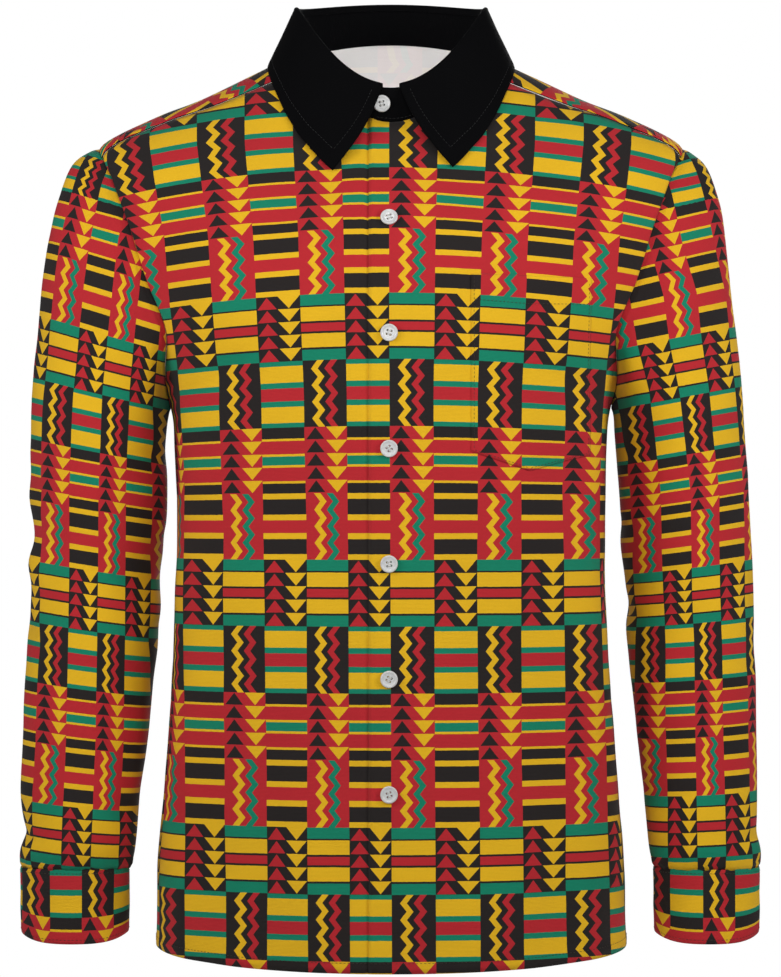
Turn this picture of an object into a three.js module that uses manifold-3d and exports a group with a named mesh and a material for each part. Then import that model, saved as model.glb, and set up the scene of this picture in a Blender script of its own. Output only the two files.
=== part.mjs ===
// Kente print shirt: a men's long-sleeved button-up shirt, hollow and filled out as worn.
// Millimetres, +Z up. The front faces -Y and the wearer's left is +X.
// The origin lies midway between the shoulders, at the height where the yoke rests on them.
// Each piece that a maker cuts is one wall of cloth, with a small gap to its neighbour at the seam.

import * as THREE from 'three';
import { mergeVertices } from 'three/addons/utils/BufferGeometryUtils.js';
import Module from 'manifold-3d';

const wasm = await Module();
wasm.setup();

// Driving dimensions
const clothWall = 1.2;
const collarWall = 1.4;
const seamGap = 0.3;
const layGap = 0.45;
const lapHalfWidth = 17.5;
const lapBlend = 13;
const lapSink = clothWall + layGap;
const ringFullness = 0.86;
const neckSeamAngle = 62;
const yokeFrontAngle = 76.66;
const yokeFrontLevel = 10.65;
const yokeSeamSag = 0.3;
const yokeSagReach = 45;
const yokeBackLevel = 10.2;
const yokeCentreLevel = 11.45;
const buttonDiameter = 13.6;
const buttonSpacing = 89.6;
const firstButtonHeight = -100.5;
const cuffLap = 34;
const cuffHeight = 56;
const cuffHalfDepth = 37;
const cuffFrontDrop = 3;
const cuffCornerRise = 5;
const buttonHeight = 2.5;
const buttonHoleRadius = 0.75;
const buttonHoleReach = 1.35;

// How far the leaf of the collar clears what it lies on, and how hollow it hangs beside the front
const leafClearance = 0.8;
const leafHollowIn = 5;
const leafHollowForward = 2.5;
const standEndRounding = 0.22;
// Just under 1 gives a sleeve's section a slightly fuller shape than an ellipse
const sleeveFullness = 0.94;

// Steps of the grids: along the armhole seam below the yoke and across the yoke's own edge, up the
// body below the underarm, along a front's neckline and yoke seam, and over the smaller pieces
const armholeSteps = 10;
const yokeFrontSteps = 2;
const yokeBackSteps = 2;
const neckColumns = 3;
const shoulderColumns = 6;
const backColumns = 18;
const sleeveRows = 27;
const sleeveSettle = 5;
const cuffAroundSteps = 30;
const cuffDropSteps = 2;
const standSteps = 34;
const standRises = [0.055, 0.35, 0.7, 1];
const leafSteps = 36;
const leafFallSteps = 5;
const pocketColumns = 8;
const pocketRows = 7;
const lapColumns = [-lapHalfWidth, 0.5, lapHalfWidth + 1, lapHalfWidth + 1 + lapBlend];
const bodyLevels = [0, 0.5, 1, 1.5, 2, 2.5, 3, 3.5, 4, 4.5, 5, 5.5];

function bodyRing(name, halfWidth, sideZ, frontDepth, frontZ, backDepth, backZ) {
  return { name, halfWidth, sideZ, frontDepth, frontZ, backDepth, backZ };
}

// Rings of the body, from hem to neck: half width and height at the side, then depth and height on
// the centre lines of the front and the back
const bodyRings = [
  bodyRing('hem', 187.8, -673, 119, -688, 116, -689),
  bodyRing('hip', 185.4, -600, 119, -608, 117, -608),
  bodyRing('low waist', 178.8, -518, 119, -522, 113, -522),
  bodyRing('waist', 172.8, -430, 120, -431, 108, -431),
  bodyRing('high waist', 170.6, -350, 123, -347, 107, -347),
  bodyRing('rib', 172.4, -282, 128, -272, 112, -274),
  bodyRing('underarm', 176.5, -243, 130, -226, 117, -230),
  bodyRing('low armhole', 196, -196, 131, -190, 121, -192),
  bodyRing('mid armhole', 216, -148, 129, -156, 122, -154),
  bodyRing('high armhole', 229, -100, 122, -124, 120, -116),
  bodyRing('top armhole', 234.5, -62, 112, -100, 115, -84),
  bodyRing('shoulder end', 231.5, -38.5, 100, -80, 108, -58),
  bodyRing('outer shoulder', 188, -15.5, 88, -61, 97, -30),
  bodyRing('mid shoulder', 152, -1, 78, -46, 85, -8),
  bodyRing('inner shoulder', 112, 17.6, 70, -33, 70, 20),
  bodyRing('neck', 72, 37, 62, -21.5, 52, 49),
];
const underarmLevel = 6;
const shoulderLevel = 11;
const neckLevel = bodyRings.length - 1;

// Where the armhole seam crosses each ring, in degrees from centre front and from centre back
const armholeRings = [
  { level: 6, front: 90, back: 90 },
  { level: 7, front: 65.5, back: 66.5 },
  { level: 8, front: 63.3, back: 65.5 },
  { level: 9, front: 64.7, back: 67.5 },
  { level: 10, front: 70.8, back: 72.2 },
  { level: 11, front: 80, back: 76 },
];

// Soft upright folds of the body: angle round the body from centre front towards the wearer's left,
// half width in degrees, lowest and highest ring level, and depth in millimetres
const bodyFolds = [
  { name: 'beside the lap', angle: -13, halfWidth: 8, low: -1, high: 5.5, depth: 2.2 },
  { name: 'left front drape', angle: 47, halfWidth: 13, low: -2, high: 4.6, depth: 3 },
  { name: 'right front drape', angle: -50, halfWidth: 13, low: -2, high: 4.2, depth: 3.2 },
  { name: 'left back drape', angle: 140, halfWidth: 12, low: -2, high: 6, depth: 4 },
  { name: 'right back drape', angle: -143, halfWidth: 12, low: -2, high: 5.6, depth: 4 },
];

function sleeveSection(name, outerX, outerZ, innerX, innerZ, halfDepth, middleY) {
  return { name, outerX, outerZ, innerX, innerZ, halfDepth, middleY };
}

// Sections of the sleeves: outer and inner point seen from the front, half depth and middle in Y
const leftSleeveSections = [
  sleeveSection('armhole', 231.5, -38.5, 176.5, -243, 64, 0),
  sleeveSection('cap top', 249.5, -52, 178.6, -254, 66, 0),
  sleeveSection('cap', 260, -79, 179.6, -263, 68, 1),
  sleeveSection('cap end', 265.8, -107, 180.4, -272, 69, 2),
  sleeveSection('upper arm', 270.6, -142, 181.2, -283, 69, 3),
  sleeveSection('biceps', 275.5, -185, 182, -296, 68, 4),
  sleeveSection('low biceps', 281, -240, 183, -313, 66, 5),
  sleeveSection('over elbow', 285.4, -300, 184.2, -339, 63, 6),
  sleeveSection('elbow', 288, -352, 183.8, -373, 60, 6),
  sleeveSection('under elbow', 289.6, -403, 187.6, -412, 58, 4),
  sleeveSection('forearm', 290.5, -455, 192.6, -458, 55, 0),
  sleeveSection('low forearm', 291.4, -505, 197.4, -505, 52, -5),
  sleeveSection('wrist', 291.7, -550, 201, -550, 49, -10),
  sleeveSection('over cuff', 290.8, -583, 204.2, -583, 46, -13),
  sleeveSection('puff', 293.6, -600, 206.4, -600, 44.5, -14),
  sleeveSection('cuff seam', 292.6, -611, 208.8, -611, 39, -15),
];
const rightSleeveSections = [
  sleeveSection('armhole', 231.5, -38.5, 176.5, -243, 64, 0),
  sleeveSection('cap top', 253, -51, 178.6, -254, 66, 0),
  sleeveSection('cap', 265.5, -79, 179.4, -263, 68, 1),
  sleeveSection('cap end', 272.6, -106, 180, -272, 69, 2),
  sleeveSection('upper arm', 278, -141, 180.6, -283, 69, 3),
  sleeveSection('biceps', 282.4, -184, 179.8, -296, 68, 4),
  sleeveSection('low biceps', 286.8, -239, 179.6, -313, 66, 5),
  sleeveSection('over elbow', 289.4, -300, 180.8, -339, 63, 6),
  sleeveSection('elbow', 289.2, -352, 182.4, -373, 60, 6),
  sleeveSection('under elbow', 289.6, -404, 183.2, -411, 58, 4),
  sleeveSection('forearm', 291.4, -455, 190, -458, 55, 0),
  sleeveSection('low forearm', 294.2, -505, 195, -505, 52, -5),
  sleeveSection('wrist', 294.6, -550, 200.2, -550, 49, -10),
  sleeveSection('over cuff', 291.2, -583, 203.4, -583, 46, -13),
  sleeveSection('puff', 295.2, -599, 205.4, -600, 44.5, -14),
  sleeveSection('cuff seam', 294.4, -611, 207, -611, 39, -15),
];

// Soft folds across the sleeves: section level, angle round the sleeve from its outer line towards
// the front, half width in degrees, half length in levels, and depth in millimetres
const leftSleeveFolds = [
  { name: 'elbow, inner side', level: 8.2, angle: 160, halfWidth: 50, halfLength: 0.55, depth: 3.5 },
  { name: 'under the elbow, front', level: 9.1, angle: 110, halfWidth: 42, halfLength: 0.5, depth: 2.6 },
  { name: 'elbow, back', level: 8.6, angle: 260, halfWidth: 45, halfLength: 0.5, depth: 2.5 },
];
const rightSleeveFolds = [
  { name: 'elbow, outer side', level: 7.9, angle: 8, halfWidth: 46, halfLength: 0.34, depth: 4.8 },
  { name: 'under the elbow, outer side', level: 8.75, angle: 0, halfWidth: 40, halfLength: 0.3, depth: 2.4 },
  { name: 'elbow, inner side', level: 8.3, angle: 165, halfWidth: 46, halfLength: 0.5, depth: 3 },
  { name: 'elbow, back', level: 8.5, angle: 265, halfWidth: 45, halfLength: 0.5, depth: 2.5 },
];

// Cuffs: middle, half width at the seam and at the edge, and the angle of the buttoned lap
const cuffs = {
  left: { middleX: 251.4, halfWidthTop: 41.6, halfWidthLow: 41.2, lapAngle: 285 },
  right: { middleX: 251.8, halfWidthTop: 42.6, halfWidthLow: 42, lapAngle: 285 },
};
const cuffTop = -611.5;
const cuffMiddleY = -15.5;

// Upper edge of the collar stand, as one more ring above the neck ring
const standTop = { halfWidth: 75.5, sideZ: 70.5, frontDepth: 60, frontZ: 5, backDepth: 54, backZ: 78 };

// The leaf of the collar: for an angle round the neck, where its lower edge lies on the body
const leafRows = [
  { neckAngle: 5, bodyAngle: 15.5, bodyLevel: 12.08 },
  { neckAngle: 20, bodyAngle: 25, bodyLevel: 12.82 },
  { neckAngle: 40, bodyAngle: 38, bodyLevel: 13.54 },
  { neckAngle: 62, bodyAngle: 58, bodyLevel: 14.08 },
  { neckAngle: 90, bodyAngle: 90, bodyLevel: 14.38 },
  { neckAngle: 135, bodyAngle: 135, bodyLevel: 14.46 },
  { neckAngle: 180, bodyAngle: 180, bodyLevel: 14.5 },
];

// Pocket on the wearer's left chest
const pocket = {
  innerX: 62, outerX: 156, topZ: -144, sideZ: -282, pointZ: -296, pointX: 108, slant: 2.5,
};

const radians = THREE.MathUtils.degToRad;
const lerp = THREE.MathUtils.lerp;
const smoothstep = THREE.MathUtils.smoothstep;

// Smooth value of one named column at a fractional row
function column(rows, key, level) {
  const last = rows.length - 1;
  const at = Math.min(Math.max(level, 0), last);
  const row = Math.min(Math.floor(at), last - 1);
  const part = at - row;
  const before = rows[Math.max(row - 1, 0)][key];
  const low = rows[row][key];
  const high = rows[row + 1][key];
  const after = rows[Math.min(row + 2, last)][key];
  const lowSlope = row > 0 ? (high - before) / 2 : high - low;
  const highSlope = row < last - 1 ? (after - low) / 2 : high - low;
  const square = part * part;
  const cube = square * part;
  return low * (2 * cube - 3 * square + 1) + lowSlope * (cube - 2 * square + part)
    + high * (3 * square - 2 * cube) + highSlope * (cube - square);
}

// Fractional row at which a rising column reaches a value
function levelWhere(rows, key, value, low, high) {
  let from = low;
  let to = high;
  for (let step = 0; step < 40; step += 1) {
    const middle = (from + to) / 2;
    if (column(rows, key, middle) < value) {
      from = middle;
    } else {
      to = middle;
    }
  }
  return (from + to) / 2;
}

// Signed difference of two angles in degrees, from -180 to 180
function angleBetween(first, second) {
  return ((first - second + 540) % 360 + 360) % 360 - 180;
}

// Smooth bump: 1 at the middle, 0 from the half width outwards
function bump(distance, halfWidth) {
  return Math.abs(distance) < halfWidth ? (1 + Math.cos(Math.PI * distance / halfWidth)) / 2 : 0;
}

// A point on a ring. The angle runs from centre front towards the wearer's left side, and the height
// changes from side to centre with this power of its cosine, which is lower along the hem.
function ringPoint(ring, angle, power = 2) {
  const cosine = Math.cos(radians(angle));
  const sine = Math.sin(radians(angle));
  const depth = cosine > 0 ? ring.frontDepth : ring.backDepth;
  const height = cosine > 0 ? ring.frontZ : ring.backZ;
  const away = Math.sign(cosine) * Math.abs(cosine) ** ringFullness;
  return new THREE.Vector3(
    ring.halfWidth * sine,
    -depth * away,
    ring.sideZ + (height - ring.sideZ) * Math.abs(cosine) ** power,
  );
}

// A point of the body's middle surface
function bodyPoint(angle, level) {
  const ring = {};
  for (const key of ['halfWidth', 'sideZ', 'frontDepth', 'frontZ', 'backDepth', 'backZ']) {
    ring[key] = column(bodyRings, key, level);
  }
  const point = ringPoint(ring, angle, 1 + smoothstep(level, 0, 2));
  let sink = 0;
  for (const fold of bodyFolds) {
    const middle = (fold.low + fold.high) / 2;
    const window = bump(level - middle, (fold.high - fold.low) / 2);
    sink += fold.depth * window * bump(angleBetween(angle, fold.angle), fold.halfWidth);
  }
  const shrink = 1 - sink / Math.hypot(point.x, point.y);
  point.x *= shrink;
  point.y *= shrink;
  return point;
}

// The body's outward normal
function bodyNormal(angle, level) {
  const stepLow = Math.max(level - 0.04, 0);
  const stepHigh = Math.min(level + 0.04, neckLevel);
  const up = bodyPoint(angle, stepHigh).sub(bodyPoint(angle, stepLow));
  const round = bodyPoint(angle + 0.6, level).sub(bodyPoint(angle - 0.6, level));
  return round.cross(up).normalize();
}

// Angle round the body of a point at a given distance from the centre line
function angleAt(x, level) {
  return THREE.MathUtils.radToDeg(Math.asin(x / column(bodyRings, 'halfWidth', level)));
}

// Ring level and angle of the front point that is seen at x and z
function frontPlace(x, z) {
  let low = 0;
  let high = neckLevel;
  for (let step = 0; step < 40; step += 1) {
    const middle = (low + high) / 2;
    if (bodyPoint(angleAt(x, middle), middle).z < z) {
      low = middle;
    } else {
      high = middle;
    }
  }
  const level = (low + high) / 2;
  return { angle: angleAt(x, level), level };
}

// Vertex normals of a grid of points, rows by columns
function gridNormals(points, closed) {
  const rows = points.length;
  const columns = points[0].length;
  return points.map((line, row) => line.map((point, at) => {
    const next = closed ? (at + 1) % columns : Math.min(at + 1, columns - 1);
    const previous = closed ? (at + columns - 1) % columns : Math.max(at - 1, 0);
    const round = line[next].clone().sub(line[previous]);
    const up = points[Math.min(row + 1, rows - 1)][at].clone();
    up.sub(points[Math.max(row - 1, 0)][at]);
    return round.cross(up).normalize();
  }));
}

// Draws the edges of a grid back from a seam, towards their own inner neighbours
function trim(points, gaps) {
  const lastRow = points.length - 1;
  const lastColumn = points[0].length - 1;
  const towards = (from, to, gap) => to.clone().sub(from).setLength(gap);
  const moves = points.map((line) => line.map(() => new THREE.Vector3()));
  for (let row = 0; row <= lastRow; row += 1) {
    moves[row][0].add(towards(points[row][0], points[row][1], gaps.start));
    moves[row][lastColumn].add(towards(points[row][lastColumn], points[row][lastColumn - 1], gaps.end));
  }
  for (let at = 0; at <= lastColumn; at += 1) {
    moves[0][at].add(towards(points[0][at], points[1][at], gaps.bottom));
    moves[lastRow][at].add(towards(points[lastRow][at], points[lastRow - 1][at], gaps.top));
  }
  return points.map((line, row) => line.map((point, at) => point.clone().add(moves[row][at])));
}

// A closed wall of cloth round a grid of points: the outer and inner skin and the cut edges
function wall(points, normals, thickness, closed = false) {
  const rows = points.length;
  const columns = points[0].length;
  const positions = [];
  for (const side of [0.5, -0.5]) {
    points.forEach((line, row) => line.forEach((point, at) => {
      const moved = point.clone().addScaledVector(normals[row][at], side * thickness);
      positions.push(moved.x, moved.y, moved.z);
    }));
  }
  const innerStart = rows * columns;
  const index = (row, at, inner) => (inner ? innerStart : 0) + row * columns + (at % columns);
  const first = points[0][1].clone().sub(points[0][0]).cross(points[1][0].clone().sub(points[0][0]));
  const flipped = first.dot(normals[0][0]) < 0;
  const indices = [];
  const triangle = (a, b, c) => (flipped ? indices.push(a, c, b) : indices.push(a, b, c));
  const cellColumns = closed ? columns : columns - 1;
  for (let row = 0; row < rows - 1; row += 1) {
    for (let at = 0; at < cellColumns; at += 1) {
      const low = points[row][at];
      const lowNext = points[row][(at + 1) % columns];
      const high = points[row + 1][at];
      const highNext = points[row + 1][(at + 1) % columns];
      const rising = low.distanceTo(highNext) < lowNext.distanceTo(high);
      for (const inner of [false, true]) {
        const corner = [index(row, at, inner), index(row, at + 1, inner),
          index(row + 1, at + 1, inner), index(row + 1, at, inner)];
        const order = rising ? [0, 1, 2, 0, 2, 3] : [0, 1, 3, 1, 2, 3];
        const turn = inner ? [0, 2, 1, 3, 5, 4] : [0, 1, 2, 3, 4, 5];
        const vertex = turn.map((place) => corner[order[place]]);
        triangle(vertex[0], vertex[1], vertex[2]);
        triangle(vertex[3], vertex[4], vertex[5]);
      }
    }
  }
  const edge = (outerA, outerB, innerA, innerB) => {
    triangle(outerA, innerA, innerB);
    triangle(outerA, innerB, outerB);
  };
  for (let at = 0; at < cellColumns; at += 1) {
    edge(index(0, at), index(0, at + 1), index(0, at, true), index(0, at + 1, true));
    edge(index(rows - 1, at + 1), index(rows - 1, at),
      index(rows - 1, at + 1, true), index(rows - 1, at, true));
  }
  if (!closed) {
    for (let row = 0; row < rows - 1; row += 1) {
      edge(index(row + 1, 0), index(row, 0), index(row + 1, 0, true), index(row, 0, true));
      edge(index(row, columns - 1), index(row + 1, columns - 1),
        index(row, columns - 1, true), index(row + 1, columns - 1, true));
    }
  }
  const geometry = new THREE.BufferGeometry();
  geometry.setAttribute('position', new THREE.Float32BufferAttribute(positions, 3));
  geometry.setIndex(indices);
  geometry.computeVertexNormals();
  return geometry;
}

const cloth = new THREE.MeshStandardMaterial({ color: 0xb98a24, roughness: 0.85, metalness: 0 });
const black = new THREE.MeshStandardMaterial({ color: 0x0d0d0e, roughness: 0.8, metalness: 0 });
const plastic = new THREE.MeshStandardMaterial({ color: 0xf2f2f0, roughness: 0.25, metalness: 0 });

function piece(name, geometry, material) {
  const mesh = new THREE.Mesh(geometry, material);
  mesh.name = name;
  return mesh;
}

// Places on the armhole seam of the front (or back), from the underarm up to the yoke
function armholePlaces(side) {
  const topLevel = side === 'front' ? yokeFrontLevel : yokeBackLevel;
  const lowZ = column(bodyRings, 'sideZ', underarmLevel);
  const topZ = column(bodyRings, 'sideZ', topLevel);
  const places = [];
  for (let step = 0; step <= armholeSteps; step += 1) {
    const height = lerp(lowZ, topZ, step / armholeSteps);
    const level = levelWhere(bodyRings, 'sideZ', height, underarmLevel, topLevel);
    const turn = column(armholeRings, side, level - underarmLevel);
    places.push({ angle: side === 'front' ? turn : 180 - turn, level });
  }
  return places;
}

// Places on the yoke's own edge of the armhole, from the front seam over the shoulder to the back
function yokeEndPlaces() {
  const places = [];
  for (let step = 0; step <= yokeFrontSteps; step += 1) {
    const part = step / yokeFrontSteps;
    places.push({
      angle: lerp(yokeFrontAngle, 90, part),
      level: lerp(yokeFrontLevel, shoulderLevel, 1 - (1 - part) ** 2),
    });
  }
  const backTop = armholePlaces('back')[armholeSteps];
  for (let step = 1; step <= yokeBackSteps; step += 1) {
    const part = step / yokeBackSteps;
    places.push({
      angle: lerp(90, backTop.angle, part),
      level: lerp(shoulderLevel, backTop.level, part ** 1.6),
    });
  }
  return places;
}

// Ring level on the front yoke seam, which sags a little between the armhole (0) and the neck (1)
function yokeSeamLevel(outerLevel, part, sag) {
  return lerp(outerLevel, neckLevel, part) - sag * Math.sin(Math.PI * part);
}

// Place on a front's top edge: along the neckline, then down the yoke seam
function frontTopPlace(step) {
  const firstAngle = angleAt(lapColumns[3], neckLevel);
  if (step <= neckColumns) {
    return { angle: lerp(firstAngle, neckSeamAngle, step / neckColumns), level: neckLevel };
  }
  const part = (step - neckColumns) / shoulderColumns;
  return {
    angle: lerp(neckSeamAngle, yokeFrontAngle, part),
    level: yokeSeamLevel(yokeFrontLevel, 1 - part, yokeSeamSag),
  };
}

// One front. Its columns run up from the hem to the neckline or the yoke seam, and its rows from the
// lap's edge to the side seam or the armhole. The wearer's right front is the left one mirrored, and
// sinks where the left one laps over it.
function frontPanel(mirrored) {
  const columns = neckColumns + shoulderColumns;
  const rows = bodyLevels.map((level) => ({ lapLevel: level, rise: 0, end: { angle: 90, level } }));
  const lowZ = column(bodyRings, 'frontZ', underarmLevel);
  const highZ = column(bodyRings, 'frontZ', neckLevel);
  armholePlaces('front').forEach((end, step) => {
    const rise = step / armholeSteps;
    const lapLevel = levelWhere(bodyRings, 'frontZ', lerp(lowZ, highZ, rise), underarmLevel, neckLevel);
    rows.push({ lapLevel, rise, end });
  });
  const turnSign = mirrored ? -1 : 1;
  const points = [];
  const normals = [];
  for (const { lapLevel, rise, end } of rows) {
    const places = lapColumns.map((x) => ({ angle: angleAt(x, lapLevel), level: lapLevel }));
    const start = places[3];
    for (let step = 1; step <= columns; step += 1) {
      const part = step / columns;
      const top = frontTopPlace(step);
      const place = {};
      for (const key of ['angle', 'level']) {
        const straightTop = lerp(frontTopPlace(0)[key], frontTopPlace(columns)[key], part);
        place[key] = lerp(start[key], end[key], part) + rise ** 1.5 * (top[key] - straightTop);
      }
      places.push(place);
    }
    const line = [];
    const lineNormals = [];
    for (const place of places) {
      const point = bodyPoint(turnSign * place.angle, place.level);
      const normal = bodyNormal(turnSign * place.angle, place.level);
      if (mirrored) {
        const sink = smoothstep(point.x, lapColumns[3] * -1, lapColumns[2] * -1);
        point.addScaledVector(normal, -lapSink * sink);
      }
      line.push(point);
      lineNormals.push(normal);
    }
    points.push(line);
    normals.push(lineNormals);
  }
  const trimmed = trim(points, { start: 0, end: seamGap / 2, bottom: 0, top: seamGap / 2 });
  return wall(trimmed, normals, clothWall);
}

// The back: rows run from one side seam or armhole to the other, up to the yoke seam
function backPanel() {
  const rightward = [];
  for (const level of bodyLevels) {
    rightward.push({ angle: 90, level, centre: level });
  }
  const places = armholePlaces('back');
  places.forEach((place, step) => {
    const centre = lerp(underarmLevel, yokeCentreLevel, step / armholeSteps);
    rightward.push({ ...place, centre });
  });
  const points = [];
  const normals = [];
  for (const row of rightward) {
    const line = [];
    const lineNormals = [];
    for (let at = 0; at <= backColumns; at += 1) {
      const part = at / backColumns;
      const angle = lerp(row.angle, 360 - row.angle, part);
      const level = lerp(row.level, row.centre, Math.sin(Math.PI * part));
      line.push(bodyPoint(angle, level));
      lineNormals.push(bodyNormal(angle, level));
    }
    points.push(line);
    normals.push(lineNormals);
  }
  const half = seamGap / 2;
  return wall(trim(points, { start: half, end: half, bottom: 0, top: half }), normals, clothWall);
}

// The yoke: from the neckline out to the armholes and the back seam, over both shoulders
function yokePanel() {
  const endPlaces = yokeEndPlaces();
  const outer = [...endPlaces];
  const corner = endPlaces[endPlaces.length - 1];
  for (let at = 1; at < backColumns; at += 1) {
    const part = at / backColumns;
    outer.push({
      angle: lerp(corner.angle, 360 - corner.angle, part),
      level: lerp(corner.level, yokeCentreLevel, Math.sin(Math.PI * part)),
    });
  }
  for (const place of [...endPlaces].reverse()) {
    outer.push({ angle: 360 - place.angle, level: place.level });
  }
  const edgeLength = [0];
  for (let at = 1; at < outer.length; at += 1) {
    const from = bodyPoint(outer[at - 1].angle, outer[at - 1].level);
    edgeLength.push(edgeLength[at - 1] + from.distanceTo(bodyPoint(outer[at].angle, outer[at].level)));
  }
  const whole = edgeLength[edgeLength.length - 1];
  const points = [];
  const normals = [];
  for (let row = 0; row <= shoulderColumns; row += 1) {
    const part = row / shoulderColumns;
    const line = outer.map((place, at) => {
      const neckAngle = lerp(neckSeamAngle, 360 - neckSeamAngle, edgeLength[at] / whole);
      const fromFront = Math.min(edgeLength[at], whole - edgeLength[at]);
      const sag = yokeSeamSag * Math.max(1 - fromFront / yokeSagReach, 0);
      return { angle: lerp(place.angle, neckAngle, part), level: yokeSeamLevel(place.level, part, sag) };
    });
    points.push(line.map(({ angle, level }) => bodyPoint(angle, level)));
    normals.push(line.map(({ angle, level }) => bodyNormal(angle, level)));
  }
  const half = seamGap / 2;
  return wall(trim(points, { start: half, end: half, bottom: half, top: 0 }), normals, clothWall);
}

// The armhole seam as one loop: over the shoulder, down the front, under the arm and up the back
function armholeLoop(turnSign) {
  const yokeEnd = yokeEndPlaces();
  const overFront = yokeEnd.slice(0, yokeFrontSteps + 1).reverse();
  const overBack = yokeEnd.slice(yokeFrontSteps + 1).reverse();
  const front = armholePlaces('front').reverse().slice(1);
  const back = armholePlaces('back').slice(1, -1);
  const places = [...overFront, ...front, ...back, ...overBack];
  return places.map(({ angle, level }) => ({
    point: bodyPoint(turnSign * angle, level),
    normal: bodyNormal(turnSign * angle, level),
  }));
}

// A point of a sleeve section; the angle runs from the outer line over the front to the inner line
function sleevePoint(sections, angle, level) {
  const value = (key) => column(sections, key, level);
  const cosine = Math.cos(radians(angle));
  const sine = Math.sin(radians(angle));
  return new THREE.Vector3(
    lerp(value('innerX'), value('outerX'), (1 + cosine) / 2),
    value('middleY') - value('halfDepth') * Math.sign(sine) * Math.abs(sine) ** sleeveFullness,
    lerp(value('innerZ'), value('outerZ'), (1 + cosine) / 2),
  );
}

// A set-in sleeve: a tube that starts on the armhole seam and turns into upright sections
function sleeve(sections, folds, turnSign) {
  const loop = armholeLoop(turnSign);
  const count = loop.length;
  const underarm = yokeFrontSteps + armholeSteps;
  const run = [0];
  for (let at = 1; at <= count; at += 1) {
    run.push(run[at - 1] + loop[at % count].point.distanceTo(loop[at - 1].point));
  }
  const angles = loop.map((_, at) => (at <= underarm ? 180 * run[at] / run[underarm]
    : 180 + 180 * (run[at] - run[underarm]) / (run[count] - run[underarm])));
  const place = (angle, level) => {
    const point = sleevePoint(sections, angle, level);
    point.x *= turnSign;
    return point;
  };
  const lastLevel = sections.length - 1;
  const points = [];
  for (let row = 0; row <= sleeveRows; row += 1) {
    const level = lastLevel * row / sleeveRows;
    const share = 1 - smoothstep(level, 0, sleeveSettle);
    const middle = place(0, level).add(place(180, level)).multiplyScalar(0.5);
    points.push(loop.map(({ point }, at) => {
      const section = place(angles[at], level);
      section.addScaledVector(point.clone().sub(place(angles[at], 0)), share);
      let sink = 0;
      for (const fold of folds) {
        sink += fold.depth * bump(level - fold.level, fold.halfLength * 2)
          * bump(angleBetween(angles[at], fold.angle), fold.halfWidth * 2);
      }
      return section.addScaledVector(middle.clone().sub(section).normalize(), sink);
    }));
  }
  const half = clothWall / 2;
  loop.forEach(({ point, normal }, at) => {
    const next = loop[(at + 1) % count].point;
    const along = next.clone().sub(loop[(at + count - 1) % count].point).normalize();
    const away = along.clone().cross(normal).multiplyScalar(-turnSign).normalize();
    const start = points[1][at].clone().sub(point).normalize();
    const onward = start.dot(away);
    const outward = start.dot(normal);
    const bend = Math.atan2(outward, onward);
    const lift = bend > 0 ? (half + seamGap / 2) * (1 - Math.cos(bend)) : 0;
    points[0][at].addScaledVector(away, seamGap / 2 + half * Math.abs(Math.sin(bend)));
    points[0][at].addScaledVector(normal, lift);
  });
  const normals = gridNormals(points, true);
  if (normals[8][0].x * turnSign < 0) {
    normals.forEach((line) => line.forEach((normal) => normal.negate()));
  }
  return wall(points, normals, clothWall, true);
}

// A buttoned cuff: one strip that goes round the wrist and laps over its own end
function cuffPoint(side, angle, drop, inset) {
  const cuff = cuffs[side];
  const turnSign = side === 'left' ? 1 : -1;
  const halfWidth = lerp(cuff.halfWidthTop, cuff.halfWidthLow, drop) - inset;
  const halfDepth = cuffHalfDepth - inset;
  const cosine = Math.cos(radians(angle));
  const sine = Math.sin(radians(angle));
  return new THREE.Vector3(
    turnSign * (cuff.middleX + halfWidth * cosine),
    cuffMiddleY - halfDepth * sine,
    cuffTop - seamGap - (cuffHeight + cuffFrontDrop * sine - cuffCornerRise * cosine ** 4) * drop,
  );
}

function cuffStrip(side) {
  const lap = cuffs[side].lapAngle;
  const points = [];
  for (let row = 0; row <= cuffDropSteps; row += 1) {
    const line = [];
    for (let at = 0; at <= cuffAroundSteps; at += 1) {
      const angle = lap - cuffLap / 2 + (360 + cuffLap) * at / cuffAroundSteps;
      const turned = 360 + cuffLap - (angle - lap + cuffLap / 2);
      const inset = lapSink * (1 - smoothstep(turned, cuffLap, cuffLap * 1.9));
      line.push(cuffPoint(side, angle, row / cuffDropSteps, inset));
    }
    points.push(line);
  }
  const normals = gridNormals(points, false);
  const outward = points[0][0].clone().sub(new THREE.Vector3(
    (side === 'left' ? 1 : -1) * cuffs[side].middleX, cuffMiddleY, points[0][0].z));
  if (normals[0][0].dot(outward) < 0) {
    normals.forEach((line) => line.forEach((normal) => normal.negate()));
  }
  return wall(points, normals, clothWall);
}

// The collar stand: a band from the neck seam up to its top ring, whose ends lap at centre front
const neckRing = bodyRings[neckLevel];

function standPoint(angle, rise, outward) {
  const low = ringPoint(neckRing, angle);
  const high = ringPoint(standTop, angle);
  const point = low.lerp(high, rise);
  const away = new THREE.Vector3(point.x, point.y, 0).normalize();
  return point.addScaledVector(away, outward);
}

function standBand() {
  const endAngle = THREE.MathUtils.radToDeg(Math.asin(lapHalfWidth / neckRing.halfWidth));
  const points = standRises.map((rise) => {
    const line = [];
    for (let at = 0; at <= standSteps; at += 1) {
      const part = at / standSteps;
      const angle = lerp(-endAngle, 360 + endAngle, part);
      const sink = lapSink * smoothstep(angle, 360 - 2.2 * endAngle, 360 - endAngle);
      const fromEnd = Math.min(part, 1 - part) * standSteps;
      const rounding = fromEnd < 1 ? standEndRounding * (1 - fromEnd) : 0;
      line.push(standPoint(angle, rise * (1 - rounding * rise), -sink));
    }
    return line;
  });
  const normals = gridNormals(points, false);
  return wall(points, normals, collarWall);
}

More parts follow.
